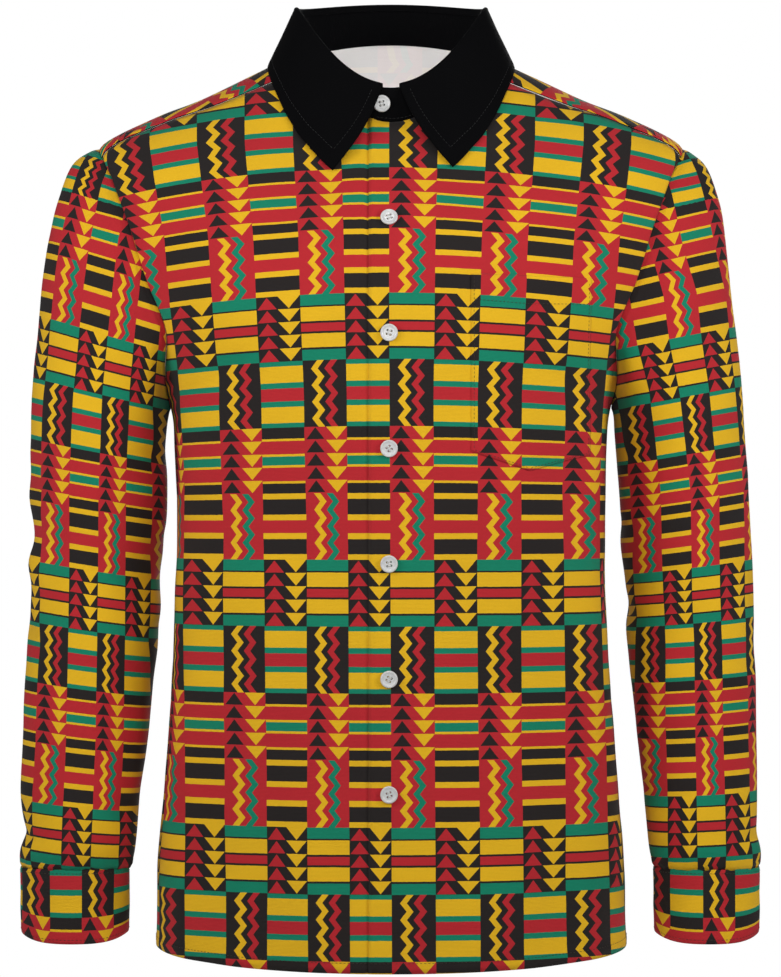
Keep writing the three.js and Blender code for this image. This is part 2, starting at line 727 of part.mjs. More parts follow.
// The turned-down leaf: from above the stand's upper edge down to the body, with two points in front
function leafPoint(angle, fall) {
  const turned = angleBetween(angle, 0);
  const side = Math.sign(turned) || 1;
  const neckAngle = Math.abs(turned);
  let row = 0;
  while (row < leafRows.length - 2 && leafRows[row + 1].neckAngle < neckAngle) {
    row += 1;
  }
  const span = leafRows[row + 1].neckAngle - leafRows[row].neckAngle;
  const level = row + (neckAngle - leafRows[row].neckAngle) / span;
  const bodyAngle = side * column(leafRows, 'bodyAngle', level);
  const bodyLevel = column(leafRows, 'bodyLevel', level);
  const top = standPoint(side * neckAngle, 1, collarWall + layGap);
  top.z += leafClearance;
  const lowNormal = bodyNormal(bodyAngle, bodyLevel);
  const lift = (clothWall + collarWall) / 2 + leafClearance;
  const low = bodyPoint(bodyAngle, bodyLevel).addScaledVector(lowNormal, lift);
  const point = top.clone().lerp(low, fall);
  const hollow = Math.sin(Math.PI * fall);
  const nearFront = 1 - smoothstep(neckAngle, 5, 60);
  point.x -= side * leafHollowIn * hollow * nearFront;
  point.y -= leafHollowForward * hollow * nearFront;
  return point;
}

function leafPiece() {
  const firstAngle = leafRows[0].neckAngle;
  const points = [];
  for (let row = 0; row <= leafFallSteps; row += 1) {
    const line = [];
    for (let at = 0; at <= leafSteps; at += 1) {
      line.push(leafPoint(lerp(firstAngle, 360 - firstAngle, at / leafSteps), 1 - row / leafFallSteps));
    }
    points.push(line);
  }
  return wall(points, gridNormals(points, false), collarWall);
}

// The patch pocket: made from the front's own points, moved out
function pocketPiece() {
  const lift = clothWall + layGap + 0.1;
  const points = [];
  const normals = [];
  for (let row = 0; row <= pocketRows; row += 1) {
    const line = [];
    const lineNormals = [];
    for (let at = 0; at <= pocketColumns; at += 1) {
      const x = lerp(pocket.innerX, pocket.outerX, at / pocketColumns);
      const toPoint = x < pocket.pointX ? (x - pocket.innerX) / (pocket.pointX - pocket.innerX)
        : (pocket.outerX - x) / (pocket.outerX - pocket.pointX);
      const lowZ = lerp(pocket.sideZ, pocket.pointZ, toPoint);
      const drop = pocket.slant * at / pocketColumns;
      const z = lerp(lowZ, pocket.topZ, row / pocketRows) - drop;
      const place = frontPlace(x, z);
      const normal = bodyNormal(place.angle, place.level);
      line.push(bodyPoint(place.angle, place.level).addScaledVector(normal, lift));
      lineNormals.push(normal);
    }
    points.push(line);
    normals.push(lineNormals);
  }
  return wall(points, normals, clothWall);
}

// A four-hole button, lying in its own XY plane with its back at zero
function buttonGeometry() {
  const radius = buttonDiameter / 2;
  const dish = buttonHeight - 0.7;
  const profile = [
    [0, 0], [radius - 1.2, 0], [radius, 0.9], [radius - 0.3, buttonHeight - 0.3],
    [radius - 1.1, buttonHeight], [radius - 2.2, dish], [0, dish],
  ].map(([x, y]) => new THREE.Vector2(x, y));
  const body = new THREE.LatheGeometry(profile, 16).rotateX(Math.PI / 2);
  let solid = solidOf(body);
  for (const [x, y] of [[1, 1], [1, -1], [-1, 1], [-1, -1]]) {
    const hole = new THREE.CylinderGeometry(buttonHoleRadius, buttonHoleRadius, 8, 5).rotateX(Math.PI / 2);
    hole.translate(x * buttonHoleReach, y * buttonHoleReach, 0);
    solid = solid.subtract(solidOf(hole));
  }
  return geometryOf(solid);
}

function solidOf(geometry) {
  const bare = geometry.clone();
  bare.deleteAttribute('normal');
  bare.deleteAttribute('uv');
  const merged = mergeVertices(bare, 1e-4);
  return new wasm.Manifold(new wasm.Mesh({
    numProp: 3,
    vertProperties: new Float32Array(merged.attributes.position.array),
    triVerts: new Uint32Array(merged.index.array),
  }));
}

function geometryOf(solid) {
  const mesh = solid.getMesh();
  const geometry = new THREE.BufferGeometry();
  geometry.setAttribute('position', new THREE.Float32BufferAttribute(mesh.vertProperties, 3));
  geometry.setIndex([...mesh.triVerts]);
  geometry.computeVertexNormals();
  return geometry;
}

// Seats a button on a surface, its back a hair above the cloth
function seatButton(name, geometry, point, normal, clearance) {
  const mesh = piece(name, geometry, plastic);
  mesh.position.copy(point).addScaledVector(normal, clearance);
  mesh.quaternion.setFromUnitVectors(new THREE.Vector3(0, 0, 1), normal);
  return mesh;
}

const shirt = new THREE.Group();
shirt.add(piece('front_left', frontPanel(false), cloth));
shirt.add(piece('front_right', frontPanel(true), cloth));
shirt.add(piece('back', backPanel(), cloth));
shirt.add(piece('yoke', yokePanel(), cloth));
shirt.add(piece('sleeve_left', sleeve(leftSleeveSections, leftSleeveFolds, 1), cloth));
shirt.add(piece('sleeve_right', sleeve(rightSleeveSections, rightSleeveFolds, -1), cloth));
shirt.add(piece('cuff_left', cuffStrip('left'), cloth));
shirt.add(piece('cuff_right', cuffStrip('right'), cloth));
shirt.add(piece('collar_stand', standBand(), black));
shirt.add(piece('collar_leaf', leafPiece(), black));
shirt.add(piece('pocket', pocketPiece(), cloth));

const button = buttonGeometry();
const standButtonPlace = standPoint(-5.5, 0.5, 0);
const standNormal = new THREE.Vector3(-0.08, -1, 0.02).normalize();
shirt.add(seatButton('button_1', button, standButtonPlace, standNormal, collarWall / 2 + 0.6));
for (let count = 0; count < 6; count += 1) {
  const place = frontPlace(-1.5, firstButtonHeight - count * buttonSpacing);
  const normal = bodyNormal(place.angle, place.level);
  const point = bodyPoint(place.angle, place.level);
  shirt.add(seatButton(`button_${count + 2}`, button, point, normal, clothWall / 2 + seamGap));
}
for (const side of ['left', 'right']) {
  const lap = cuffs[side].lapAngle;
  const point = cuffPoint(side, lap, 0.5, 0);
  const turn = radians(lap);
  const turnSign = side === 'left' ? 1 : -1;
  const normal = new THREE.Vector3(turnSign * Math.cos(turn) / cuffs[side].halfWidthTop,
    -Math.sin(turn) / cuffHalfDepth, 0).normalize();
  shirt.add(seatButton(`cuff_button_${side}`, button, point, normal, clothWall / 2 + seamGap));
}

export default shirt;
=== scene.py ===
"""Kente print shirt: the cloth, print, stitching, collar and buttons, laid over the shirt's solids."""

import functools
import math

import bmesh
import bpy
from mathutils import Matrix, Vector, noise


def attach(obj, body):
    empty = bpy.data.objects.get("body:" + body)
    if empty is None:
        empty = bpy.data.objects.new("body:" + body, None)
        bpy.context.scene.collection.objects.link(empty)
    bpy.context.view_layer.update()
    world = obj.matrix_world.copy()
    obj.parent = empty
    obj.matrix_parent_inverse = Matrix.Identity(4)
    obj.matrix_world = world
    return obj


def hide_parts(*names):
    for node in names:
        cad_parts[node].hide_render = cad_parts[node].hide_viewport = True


bl_info = {
    "name": "Kente Print Shirt",
    "version": (1, 0, 0),
    "blender": (4, 5, 0),
    "location": "View3D > Sidebar > Shirt",
    "description": "Builds the cloth, collar, stitching and buttons of a kente print shirt",
    "category": "Object",
}

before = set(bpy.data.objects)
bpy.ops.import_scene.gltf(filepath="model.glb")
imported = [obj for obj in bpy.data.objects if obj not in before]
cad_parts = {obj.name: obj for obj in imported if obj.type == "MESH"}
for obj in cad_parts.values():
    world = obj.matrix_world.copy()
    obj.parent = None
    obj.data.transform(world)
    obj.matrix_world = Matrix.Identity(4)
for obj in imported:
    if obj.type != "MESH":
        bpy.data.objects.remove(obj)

# Lengths below are in millimetres unless a name says otherwise
MM = 0.001
CLOTH = 0.7
CUFF_CLOTH = CLOTH + 0.4
COLLAR_CLOTH = 1.1
SKIN = 0.5
LAP_HALF_WIDTH = 17.5
LAP_BLEND_END = 31.5
LAP_SINK = 1.65
RING_FULLNESS = 0.86
NECK_SEAM_ANGLE = 62
YOKE_FRONT_ANGLE = 76.66
YOKE_FRONT_LEVEL = 10.65
YOKE_SEAM_SAG = 0.3
YOKE_SAG_REACH = 45
YOKE_BACK_LEVEL = 10.2
YOKE_CENTRE_LEVEL = 11.45
UNDERARM_LEVEL = 6
SHOULDER_LEVEL = 11
NECK_LEVEL = 15
CUFF_TOP = -611.8
CUFF_HEIGHT = 56
CUFF_HALF_DEPTH = 37
CUFF_FRONT_DROP = 3
CUFF_CORNER_RISE = 5
CUFF_MIDDLE_Y = -15.5
CUFF_LAP = 34
CUFF_LAP_ANGLE = 285
SLEEVE_SETTLE = 5
SLEEVE_LAST = 15
BUTTON_X = -1.5
BUTTON_HEIGHTS = (-100.5, -190.1, -279.7, -369.3, -458.9, -548.5)

# Rings of the body from hem to neck: half width, side height, front depth and height, back depth and height
BODY_RINGS = (
    (187.8, -673, 119, -688, 116, -689),
    (185.4, -600, 119, -608, 117, -608),
    (178.8, -518, 119, -522, 113, -522),
    (172.8, -430, 120, -431, 108, -431),
    (170.6, -350, 123, -347, 107, -347),
    (172.4, -282, 128, -272, 112, -274),
    (176.5, -243, 130, -226, 117, -230),
    (196, -196, 131, -190, 121, -192),
    (216, -148, 129, -156, 122, -154),
    (229, -100, 122, -124, 120, -116),
    (234.5, -62, 112, -100, 115, -84),
    (231.5, -38.5, 100, -80, 108, -58),
    (188, -15.5, 88, -61, 97, -30),
    (152, -1, 78, -46, 85, -8),
    (112, 17.6, 70, -33, 70, 20),
    (72, 37, 62, -21.5, 52, 49),
)

# Where the armhole seam crosses the rings from the underarm up, in degrees from centre front and centre back
ARMHOLE_RINGS = ((90, 90), (65.5, 66.5), (63.3, 65.5), (64.7, 67.5), (70.8, 72.2), (80, 76))

# Sleeve sections: outer and inner point seen from the front, half depth and middle in Y
LEFT_SLEEVE = (
    (231.5, -38.5, 176.5, -243, 64, 0),
    (249.5, -52, 178.6, -254, 66, 0),
    (260, -79, 179.6, -263, 68, 1),
    (265.8, -107, 180.4, -272, 69, 2),
    (270.6, -142, 181.2, -283, 69, 3),
    (275.5, -185, 182, -296, 68, 4),
    (281, -240, 183, -313, 66, 5),
    (285.4, -300, 184.2, -339, 63, 6),
    (288, -352, 183.8, -373, 60, 6),
    (289.6, -403, 187.6, -412, 58, 4),
    (290.5, -455, 192.6, -458, 55, 0),
    (291.4, -505, 197.4, -505, 52, -5),
    (291.7, -550, 201, -550, 49, -10),
    (290.8, -583, 204.2, -583, 46, -13),
    (293.6, -600, 206.4, -600, 44.5, -14),
    (292.6, -611, 208.8, -611, 39, -15),
)
RIGHT_SLEEVE = (
    (231.5, -38.5, 176.5, -243, 64, 0),
    (253, -51, 178.6, -254, 66, 0),
    (265.5, -79, 179.4, -263, 68, 1),
    (272.6, -106, 180, -272, 69, 2),
    (278, -141, 180.6, -283, 69, 3),
    (282.4, -184, 179.8, -296, 68, 4),
    (286.8, -239, 179.6, -313, 66, 5),
    (289.4, -300, 180.8, -339, 63, 6),
    (289.2, -352, 182.4, -373, 60, 6),
    (289.6, -404, 183.2, -411, 58, 4),
    (291.4, -455, 190, -458, 55, 0),
    (294.2, -505, 195, -505, 52, -5),
    (294.6, -550, 200.2, -550, 49, -10),
    (291.2, -583, 203.4, -583, 46, -13),
    (295.2, -599, 205.4, -600, 44.5, -14),
    (294.4, -611, 207, -611, 39, -15),
)

# Cuffs: middle, and half width at the seam and at the edge
CUFFS = {"left": (251.4, 41.6, 41.2), "right": (251.8, 42.6, 42)}

# Where a column of the print starts on a cuff and how wide it is, as shares of half a turn
CUFF_COLUMN = {"left": (0.555, 0.284), "right": (0.31, 0.273)}

# Upper ring of the collar stand, as one more ring above the neck
STAND_TOP = (75.5, 70.5, 60, 5, 54, 78)

# The leaf of the collar: angle round the neck, and where its lower edge lies on the body
LEAF_ANGLES = (5, 20, 40, 62, 90, 135, 180)
LEAF_EDGE = ((15.5, 12.08), (25, 12.82), (38, 13.54), (58, 14.08), (90, 14.38), (135, 14.46), (180, 14.5))

# Patch pocket on the wearer's left chest
POCKET = {"inner": 62, "outer": 156, "top": -144, "side": -282, "point": -296, "point_x": 108, "slant": 2.5}

# Soft upright folds of the body: angle, half width in degrees, lowest and highest ring, depth
BODY_FOLDS = (
    (-13, 8, -1, 5.5, 2.2), (47, 13, -2, 4.6, 3), (-50, 13, -2, 4.2, 3.2), (140, 12, -2, 6, 4),
    (-143, 12, -2, 5.6, 4),
)

# Soft folds across the sleeves: section, angle, half width in degrees, half length in sections, depth
SLEEVE_FOLDS = {
    "left": ((8.2, 160, 50, 0.55, 3.5), (9.1, 110, 42, 0.5, 2.6), (8.6, 260, 45, 0.5, 2.5)),
    "right": (
        (7.9, 8, 46, 0.34, 4.8), (8.75, 0, 40, 0.3, 2.4), (8.3, 165, 46, 0.5, 3),
        (8.5, 265, 45, 0.5, 2.5),
    ),
}


def lerp(a, b, part):
    return a + (b - a) * part


def smooth(value, low, high):
    """Smooth step from 0 at low to 1 at high."""
    part = min(max((value - low) / (high - low), 0), 1)
    return part * part * (3 - 2 * part)


def bump(distance, half_width):
    """1 at the middle, 0 from the half width outwards."""
    if abs(distance) >= half_width:
        return 0
    return (1 + math.cos(math.pi * distance / half_width)) / 2


def stretch_at(places, value):
    """Index of the stretch of a rising row of places in which a value falls."""
    at = 0
    while at < len(places) - 2 and places[at + 1] < value:
        at += 1
    return at


def knots(table, value):
    """Straight lines between the (place, result) pairs of a table, carried on past its ends."""
    at = stretch_at([place for place, _ in table], value)
    (start, first), (end, last) = table[at], table[at + 1]
    return lerp(first, last, (value - start) / (end - start))


def run_along(points):
    """Length run from the first of a row of points to each of them."""
    run = [0]
    for first, second in zip(points, points[1:]):
        run.append(run[-1] + (second - first).length)
    return run


def angle_between(first, second):
    return (first - second + 180) % 360 - 180


@functools.lru_cache(maxsize=None)
def rings_at(rows, level):
    """Every column of a table at a fractional row, on smooth curves."""
    last = len(rows) - 1
    level = min(max(level, 0), last)
    row = min(int(level), last - 1)
    part = level - row
    square, cube = part * part, part**3
    values = []
    for at in range(len(rows[0])):
        low, high = rows[row][at], rows[row + 1][at]
        low_slope = (high - rows[row - 1][at]) / 2 if row > 0 else high - low
        high_slope = (rows[row + 2][at] - low) / 2 if row < last - 1 else high - low
        values.append(
            low * (2 * cube - 3 * square + 1)
            + low_slope * (cube - 2 * square + part)
            + high * (3 * square - 2 * cube)
            + high_slope * (cube - square)
        )
    return tuple(values)


@functools.lru_cache(maxsize=None)
def level_where(at, value, low, high):
    """Ring level at which a rising column of the body reaches a value."""
    for _ in range(30):
        middle = (low + high) / 2
        if rings_at(BODY_RINGS, middle)[at] < value:
            low = middle
        else:
            high = middle
    return (low + high) / 2


def ring_point(ring, angle, power=2):
    """A point on a ring; the angle runs from centre front towards the wearer's left."""
    half_width, side_z, front_depth, front_z, back_depth, back_z = ring
    cosine, sine = math.cos(math.radians(angle)), math.sin(math.radians(angle))
    depth, height = (front_depth, front_z) if cosine > 0 else (back_depth, back_z)
    away = math.copysign(abs(cosine) ** RING_FULLNESS, cosine)
    return Vector((half_width * sine, -depth * away, side_z + (height - side_z) * abs(cosine) ** power))


def body_point(angle, level):
    point = ring_point(rings_at(BODY_RINGS, round(level, 4)), angle, 1 + smooth(level, 0, 2))
    sink = 0
    for fold_angle, half_width, low, high, depth in BODY_FOLDS:
        window = bump(level - (low + high) / 2, (high - low) / 2)
        sink += depth * window * bump(angle_between(angle, fold_angle), half_width)
    shrink = 1 - sink / math.hypot(point.x, point.y)
    return Vector((point.x * shrink, point.y * shrink, point.z))


def body_normal(angle, level):
    low, high = max(level - 0.04, 0), min(level + 0.04, NECK_LEVEL)
    up = body_point(angle, high) - body_point(angle, low)
    along = body_point(angle + 0.6, level) - body_point(angle - 0.6, level)
    return along.cross(up).normalized()


def angle_at(x, level):
    return math.degrees(math.asin(x / rings_at(BODY_RINGS, round(level, 4))[0]))


@functools.lru_cache(maxsize=None)
def front_place(x, z):
    """Angle and ring level of the front point that is seen at x and z."""
    low, high = 0, NECK_LEVEL
    for _ in range(26):
        middle = (low + high) / 2
        if body_point(angle_at(x, middle), middle).z < z:
            low = middle
        else:
            high = middle
    return angle_at(x, low), low


@functools.lru_cache(maxsize=None)
def armhole_place(side, rise):
    """Angle and level on the armhole seam, from the underarm (0) up to the yoke (1)."""
    top = YOKE_FRONT_LEVEL if side == "front" else YOKE_BACK_LEVEL
    low_z, top_z = rings_at(BODY_RINGS, UNDERARM_LEVEL)[1], rings_at(BODY_RINGS, top)[1]
    level = level_where(1, lerp(low_z, top_z, rise), UNDERARM_LEVEL, top)
    turn = rings_at(ARMHOLE_RINGS, level - UNDERARM_LEVEL)[0 if side == "front" else 1]
    return (turn if side == "front" else 180 - turn), level


def yoke_end_place(part):
    """Along the yoke's armhole edge: 0 at the front seam, 1 over the shoulder, 2 at the back seam."""
    if part <= 1:
        level = lerp(YOKE_FRONT_LEVEL, SHOULDER_LEVEL, 1 - (1 - part) ** 2)
        return lerp(YOKE_FRONT_ANGLE, 90, part), level
    angle, level = armhole_place("back", 1)
    part -= 1
    return lerp(90, angle, part), lerp(SHOULDER_LEVEL, level, part**1.6)


class Wiring:
    """Adds and joins the nodes of one material."""

    def __init__(self, name):
        self.material = bpy.data.materials.get(name) or bpy.data.materials.new(name)
        self.material.use_nodes = True
        self.tree = self.material.node_tree
        self.tree.nodes.clear()

    def node(self, kind, inputs=(), **settings):
        made = self.tree.nodes.new(kind)
        for key, value in settings.items():
            setattr(made, key, value)
        for key, value in dict(inputs).items():
            self.put(made.inputs[key], value)
        return made

    def put(self, socket, value):
        if isinstance(value, bpy.types.NodeSocket):
            self.tree.links.new(value, socket)
        else:
            socket.default_value = value

    def math(self, operation, *values):
        made = self.node("ShaderNodeMath", operation=operation)
        for socket, value in zip(made.inputs, values):
            self.put(socket, value)
        return made.outputs[0]

    def apart(self, first, second):
        """Distance between two values."""
        return self.math("ABSOLUTE", self.math("SUBTRACT", first, second))

    def mix(self, part, first, second, blend="MIX"):
        made = self.node("ShaderNodeMix", data_type="RGBA", blend_type=blend)
        self.put(made.inputs[0], part)
        self.put(made.inputs[6], first)
        self.put(made.inputs[7], second)
        return made.outputs[2]

    def object_place(self):
        return self.node("ShaderNodeTexCoord").outputs["Object"]

    def noise(self, place, scale, detail=2.0):
        made = self.node("ShaderNodeTexNoise", {"Vector": place, "Scale": scale, "Detail": detail})
        return made.outputs[0]

    def stripes(self, place, starts, colours):
        """A colour ramp of plain stripes, from the places where they start and their colours."""
        made = self.node("ShaderNodeValToRGB", {"Fac": place})
        ramp = made.color_ramp
        ramp.interpolation = "CONSTANT"
        ramp.elements.remove(ramp.elements[1])
        ramp.elements[0].position = starts[0]
        ramp.elements[0].color = colours[0]
        for start, colour in zip(starts[1:], colours[1:]):
            ramp.elements.new(start).color = colour
        return made.outputs[0]

    def surface(self, settings):
        """Finishes the material with one Principled surface and hands it over."""
        shader = self.node("ShaderNodeBsdfPrincipled", settings)
        self.put(self.node("ShaderNodeOutputMaterial").inputs[0], shader.outputs[0])
        return self.material


def linear(colour, alpha=1.0):
    """A colour picked in the sidebar, which Blender keeps as linear light, as a shader takes it."""
    return (*tuple(colour)[:3], alpha)


def from_screen(red, green, blue):
    """Linear light from the 0 to 255 values of a screen colour."""

    def channel(value):
        value /= 255
        return value / 12.92 if value <= 0.04045 else ((value + 0.055) / 1.055) ** 2.4

    return channel(red), channel(green), channel(blue)


ZIGZAG_SWING = 0.075
ZIGZAG_STROKE = 0.155


def zigzag(wiring, across, down, centre, turn=1):
    """1 on an upright zigzag with four turns in a block; it starts towards the side given by turn."""
    turns = wiring.math("FRACT", wiring.math("MULTIPLY", down, 4.0))
    wave = wiring.math("SUBTRACT", wiring.math("MULTIPLY", wiring.apart(turns, 0.5), 4.0), 1.0)
    middle = wiring.math("MULTIPLY_ADD", wave, ZIGZAG_SWING * turn, centre)
    return wiring.math("LESS_THAN", wiring.apart(across, middle), ZIGZAG_STROKE / 2)


def triangles(wiring, across, row, apex, half_base, tip, base):
    """1 on a column of triangles; tip and base are places in its row, either one first."""
    share = wiring.math("DIVIDE", wiring.math("SUBTRACT", row, tip), base - tip)
    reach = wiring.math("MULTIPLY", share, half_base)
    inside = wiring.math("LESS_THAN", wiring.apart(across, apex), reach)
    return wiring.math("MULTIPLY", inside, wiring.math("LESS_THAN", share, 1.0))


def printed_colour(wiring, look):
    """The kente print: two kinds of column, each of four blocks that repeat down the cloth."""
    yellow, red, green, black = map(linear, (look.yellow, look.red, look.green, look.black))
    place = wiring.node("ShaderNodeUVMap", uv_map="print").outputs[0]
    wobble = wiring.noise(place, 9.0, 3.0)
    parts = wiring.node("ShaderNodeSeparateXYZ", {"Vector": place})
    nudge = wiring.math("MULTIPLY", wiring.math("SUBTRACT", wobble, 0.5), 0.009)
    u = wiring.math("ADD", parts.outputs[0], nudge)
    v = wiring.math("ADD", parts.outputs[1], nudge)
    column = wiring.math("FLOORED_MODULO", wiring.math("FLOOR", u), 2.0)
    block = wiring.math("FLOORED_MODULO", wiring.math("FLOOR", v), 4.0)
    across, down = wiring.math("FRACT", u), wiring.math("FRACT", v)
    row = wiring.math("FRACT", wiring.math("MULTIPLY", down, 5.0))

    def zigzags(ground, left, left_colour, right, right_colour, turn):
        ground = wiring.mix(zigzag(wiring, across, down, left, turn), ground, left_colour)
        return wiring.mix(zigzag(wiring, across, down, right, turn), ground, right_colour)

    def points(ground, left, left_colour, right, right_colour):
        ground = wiring.mix(triangles(wiring, across, row, *left), ground, left_colour)
        return wiring.mix(triangles(wiring, across, row, *right), ground, right_colour)

    first = (
        zigzags(black, 0.34, yellow, 0.647, red, 1),
        points(red, (0.255, 0.215, 0.02, 0.93), black, (0.755, 0.245, 0.93, 0.0), yellow),
        zigzags(red, 0.345, yellow, 0.65, green, -1),
        wiring.stripes(
            down,
            (0, 0.165, 0.19, 0.405, 0.435, 0.56, 0.592, 0.803, 0.835),
            (green, black, yellow, black, red, black, yellow, black, green),
        ),
    )
    second = (
        wiring.stripes(
            down,
            (0, 0.07, 0.32, 0.403, 0.6, 0.685, 0.928),
            (green, yellow, green, red, green, yellow, green),
        ),
        wiring.stripes(
            down,
            (0, 0.165, 0.2, 0.402, 0.435, 0.57, 0.605, 0.81, 0.845),
            (black, yellow, red, yellow, green, yellow, red, yellow, black),
        ),
        wiring.stripes(
            down,
            (0, 0.084, 0.318, 0.406, 0.598, 0.689, 0.916),
            (yellow, black, yellow, red, yellow, black, yellow),
        ),
        points(black, (0.242, 0.22, 0.06, 0.97), red, (0.736, 0.25, 0.95, 0.0), yellow),
    )
    kinds = []
    for blocks in (first, second):
        colour = blocks[0]
        for number in (1, 2, 3):
            reached = wiring.math("GREATER_THAN", block, number - 0.5)
            colour = wiring.mix(reached, colour, blocks[number])
        kinds.append(colour)
    return wiring.mix(column, kinds[0], kinds[1]), place


def weave(wiring, place, fineness):
    """Height of a plain weave laid over the given coordinates."""
    threads = wiring.node(
        "ShaderNodeTexWave",
        {"Vector": place, "Scale": fineness, "Distortion": 1.4, "Detail": 2.0, "Detail Scale": 2.0},
        bands_direction="Y",
    )
    cross = wiring.node(
        "ShaderNodeTexWave",
        {"Vector": place, "Scale": fineness * 0.8, "Distortion": 1.2, "Detail": 1.0},
        bands_direction="X",
    )
    return wiring.math("MULTIPLY_ADD", cross.outputs[1], 0.45, threads.outputs[1])


def finish_cloth(wiring, colour, height, roughness, sheen, bump_depth, specular=0.16):
    bumped = wiring.node("ShaderNodeBump", {"Height": height, "Strength": 0.55, "Distance": bump_depth})
    return wiring.surface(
        {
            "Base Color": colour,
            "Roughness": roughness,
            "Sheen Weight": sheen,
            "Sheen Roughness": 0.55,
            "Specular IOR Level": specular,
            "Normal": bumped.outputs[0],
        }
    )


def kente_cloth():
    look = bpy.context.scene.kente_print
    wiring = Wiring("kente_cloth")
    colour, place = printed_colour(wiring, look)
    spot = wiring.object_place()
    patch = wiring.noise(spot, 14.0, 3.0)
    fleck = wiring.noise(spot, 900.0, 2.0)
    threads = weave(wiring, place, look.thread_fineness)
    shade = wiring.math("MULTIPLY_ADD", patch, 0.16, 0.9)
    shade = wiring.math("MULTIPLY_ADD", fleck, 0.12, wiring.math("SUBTRACT", shade, 0.06))
    shade = wiring.math("MULTIPLY_ADD", threads, 0.05, wiring.math("SUBTRACT", shade, 0.035))
    tint = wiring.node("ShaderNodeCombineColor", {0: shade, 1: shade, 2: shade}).outputs[0]
    colour = wiring.mix(1.0, colour, tint, "MULTIPLY")
    roughness = wiring.math("MULTIPLY_ADD", patch, 0.12, 0.74)
    return finish_cloth(wiring, colour, threads, roughness, 0.05, 0.00018)


def cloth_reverse():
    """The pale reverse of the printed cloth, with the print showing through it faintly."""
    look = bpy.context.scene.kente_print
    wiring = Wiring("cloth_reverse")
    colour, place = printed_colour(wiring, look)
    threads = weave(wiring, place, look.thread_fineness)
    colour = wiring.mix(0.9, colour, (0.93, 0.91, 0.9, 1))
    spot = wiring.object_place()
    patch = wiring.noise(spot, 30.0, 3.0)
    roughness = wiring.math("MULTIPLY_ADD", patch, 0.1, 0.8)
    return finish_cloth(wiring, colour, threads, roughness, 0.1, 0.00018)


def black_cotton():
    look = bpy.context.scene.kente_print
    wiring = Wiring("black_cotton")
    spot = wiring.object_place()
    patch = wiring.noise(spot, 24.0, 4.0)
    fleck = wiring.noise(spot, 1100.0, 2.0)
    threads = weave(wiring, spot, 260.0)
    dark = linear(look.collar)
    worn = tuple(value * 1.8 + 0.0008 for value in dark[:3]) + (1,)
    share = wiring.math("MULTIPLY", wiring.math("ADD", patch, fleck), 0.5)
    colour = wiring.mix(share, dark, worn)
    roughness = wiring.math("MULTIPLY_ADD", patch, 0.14, 0.72)
    return finish_cloth(wiring, colour, threads, roughness, 0.01, 0.00012, 0.025)


def pearl_plastic():
    look = bpy.context.scene.kente_print
    wiring = Wiring("pearl_plastic")
    spot = wiring.object_place()
    cloud = wiring.noise(spot, 160.0, 3.0)
    scratch = wiring.noise(spot, 1500.0, 2.0)
    white = linear(look.button)
    shaded = tuple(value * factor for value, factor in zip(white[:3], (0.86, 0.87, 0.9))) + (1,)
    colour = wiring.mix(cloud, white, shaded)
    bumped = wiring.node("ShaderNodeBump", {"Height": scratch, "Strength": 0.12, "Distance": 0.00005})
    return wiring.surface(
        {
            "Base Color": colour,
            "Roughness": wiring.math("MULTIPLY_ADD", cloud, 0.15, 0.22),
            "Coat Weight": 0.25,
            "Coat Roughness": 0.12,
            "Normal": bumped.outputs[0],
        }
    )


def thread_material(name, colour):
    """Twisted sewing thread."""
    wiring = Wiring(name)
    spot = wiring.object_place()
    twist = wiring.noise(spot, 2400.0, 2.0)
    dull = tuple(value * 0.7 for value in colour[:3]) + (1,)
    mixed = wiring.mix(twist, (*colour[:3], 1), dull)
    return finish_cloth(wiring, mixed, twist, 0.7, 0.15, 0.0001)


# Where the blocks of the print start down the front, at the centre line: height, and count of blocks
BLOCKS_DOWN = ((-626.3, 8), (-418.1, 4), (-210.4, 0), (-159.1, -1), (-108.9, -2), (-59.8, -3), (-11, -4))
# Width of a column of the print on the wearer's left and right of the front, by height
COLUMN_LEFT = ((-650, 34.3), (-350, 34), (-238, 34), (-114, 36.1), (-40, 38.2), (0, 38.6))
COLUMN_RIGHT = ((-650, 32.4), (-350, 32.8), (-238, 33.2), (-114, 35.3), (-40, 37.8), (0, 38.2))
COLUMN_START = ((-650, 0.6), (-350, -0.6), (-150, -1.5), (0, -1.4))
# How far the print hangs lower 154 mm out from the centre line, by height
BLOCK_DROP = ((-350, 0), (-210, 6.5), (-60, 11.5), (0, 12))
# On the back: width of a column, height of a block, and where a row of blocks starts
BACK_COLUMN = 35
BACK_BLOCK = 51
BACK_START = -210.4
# Where the blocks start down the outer line of each sleeve, and how much they drop for each mm inward
SLEEVE_BLOCKS = {
    "left": ((-600, 12), (-550.5, 11), (-413, 8), (-229.5, 4), (-182, 3), (-128.5, 2), (-78.5, 1), (-44, 0)),
    "right": ((-604.5, 12), (-416, 8), (-222.4, 4), (-172.8, 3), (-122.4, 2), (-70.4, 1), (-38, 0)),
}
SLEEVE_SLOPE = {
    "left": ((-591, 0.04), (-433, 0.075), (-355, 0.14), (-276, 0.175), (-190, 0.2), (-160, 0.24), (0, 0.24)),
    "right": ((-591, 0.1), (-433, 0.14), (-315, 0.17), (-276, 0.21), (-236, 0.25), (-190, 0.3), (0, 0.3)),
}
# The line from which each sleeve's columns are counted: height, and distance from the middle of the shirt
SLEEVE_LINE = {
    "left": (
        (-591, 264), (-512, 262.4), (-433, 261.4), (-394, 259.8), (-315, 259.3), (-276, 255.3),
        (-236, 250.8), (-197, 244.8), (-158, 240.9), (-118, 230.3), (-79, 222),
    ),
    "right": (
        (-591, 284.5), (-512, 281.3), (-433, 280), (-315, 278.7),
        (-236, 275.3), (-158, 267.5), (-118, 263.5), (-79, 256),
    ),
}
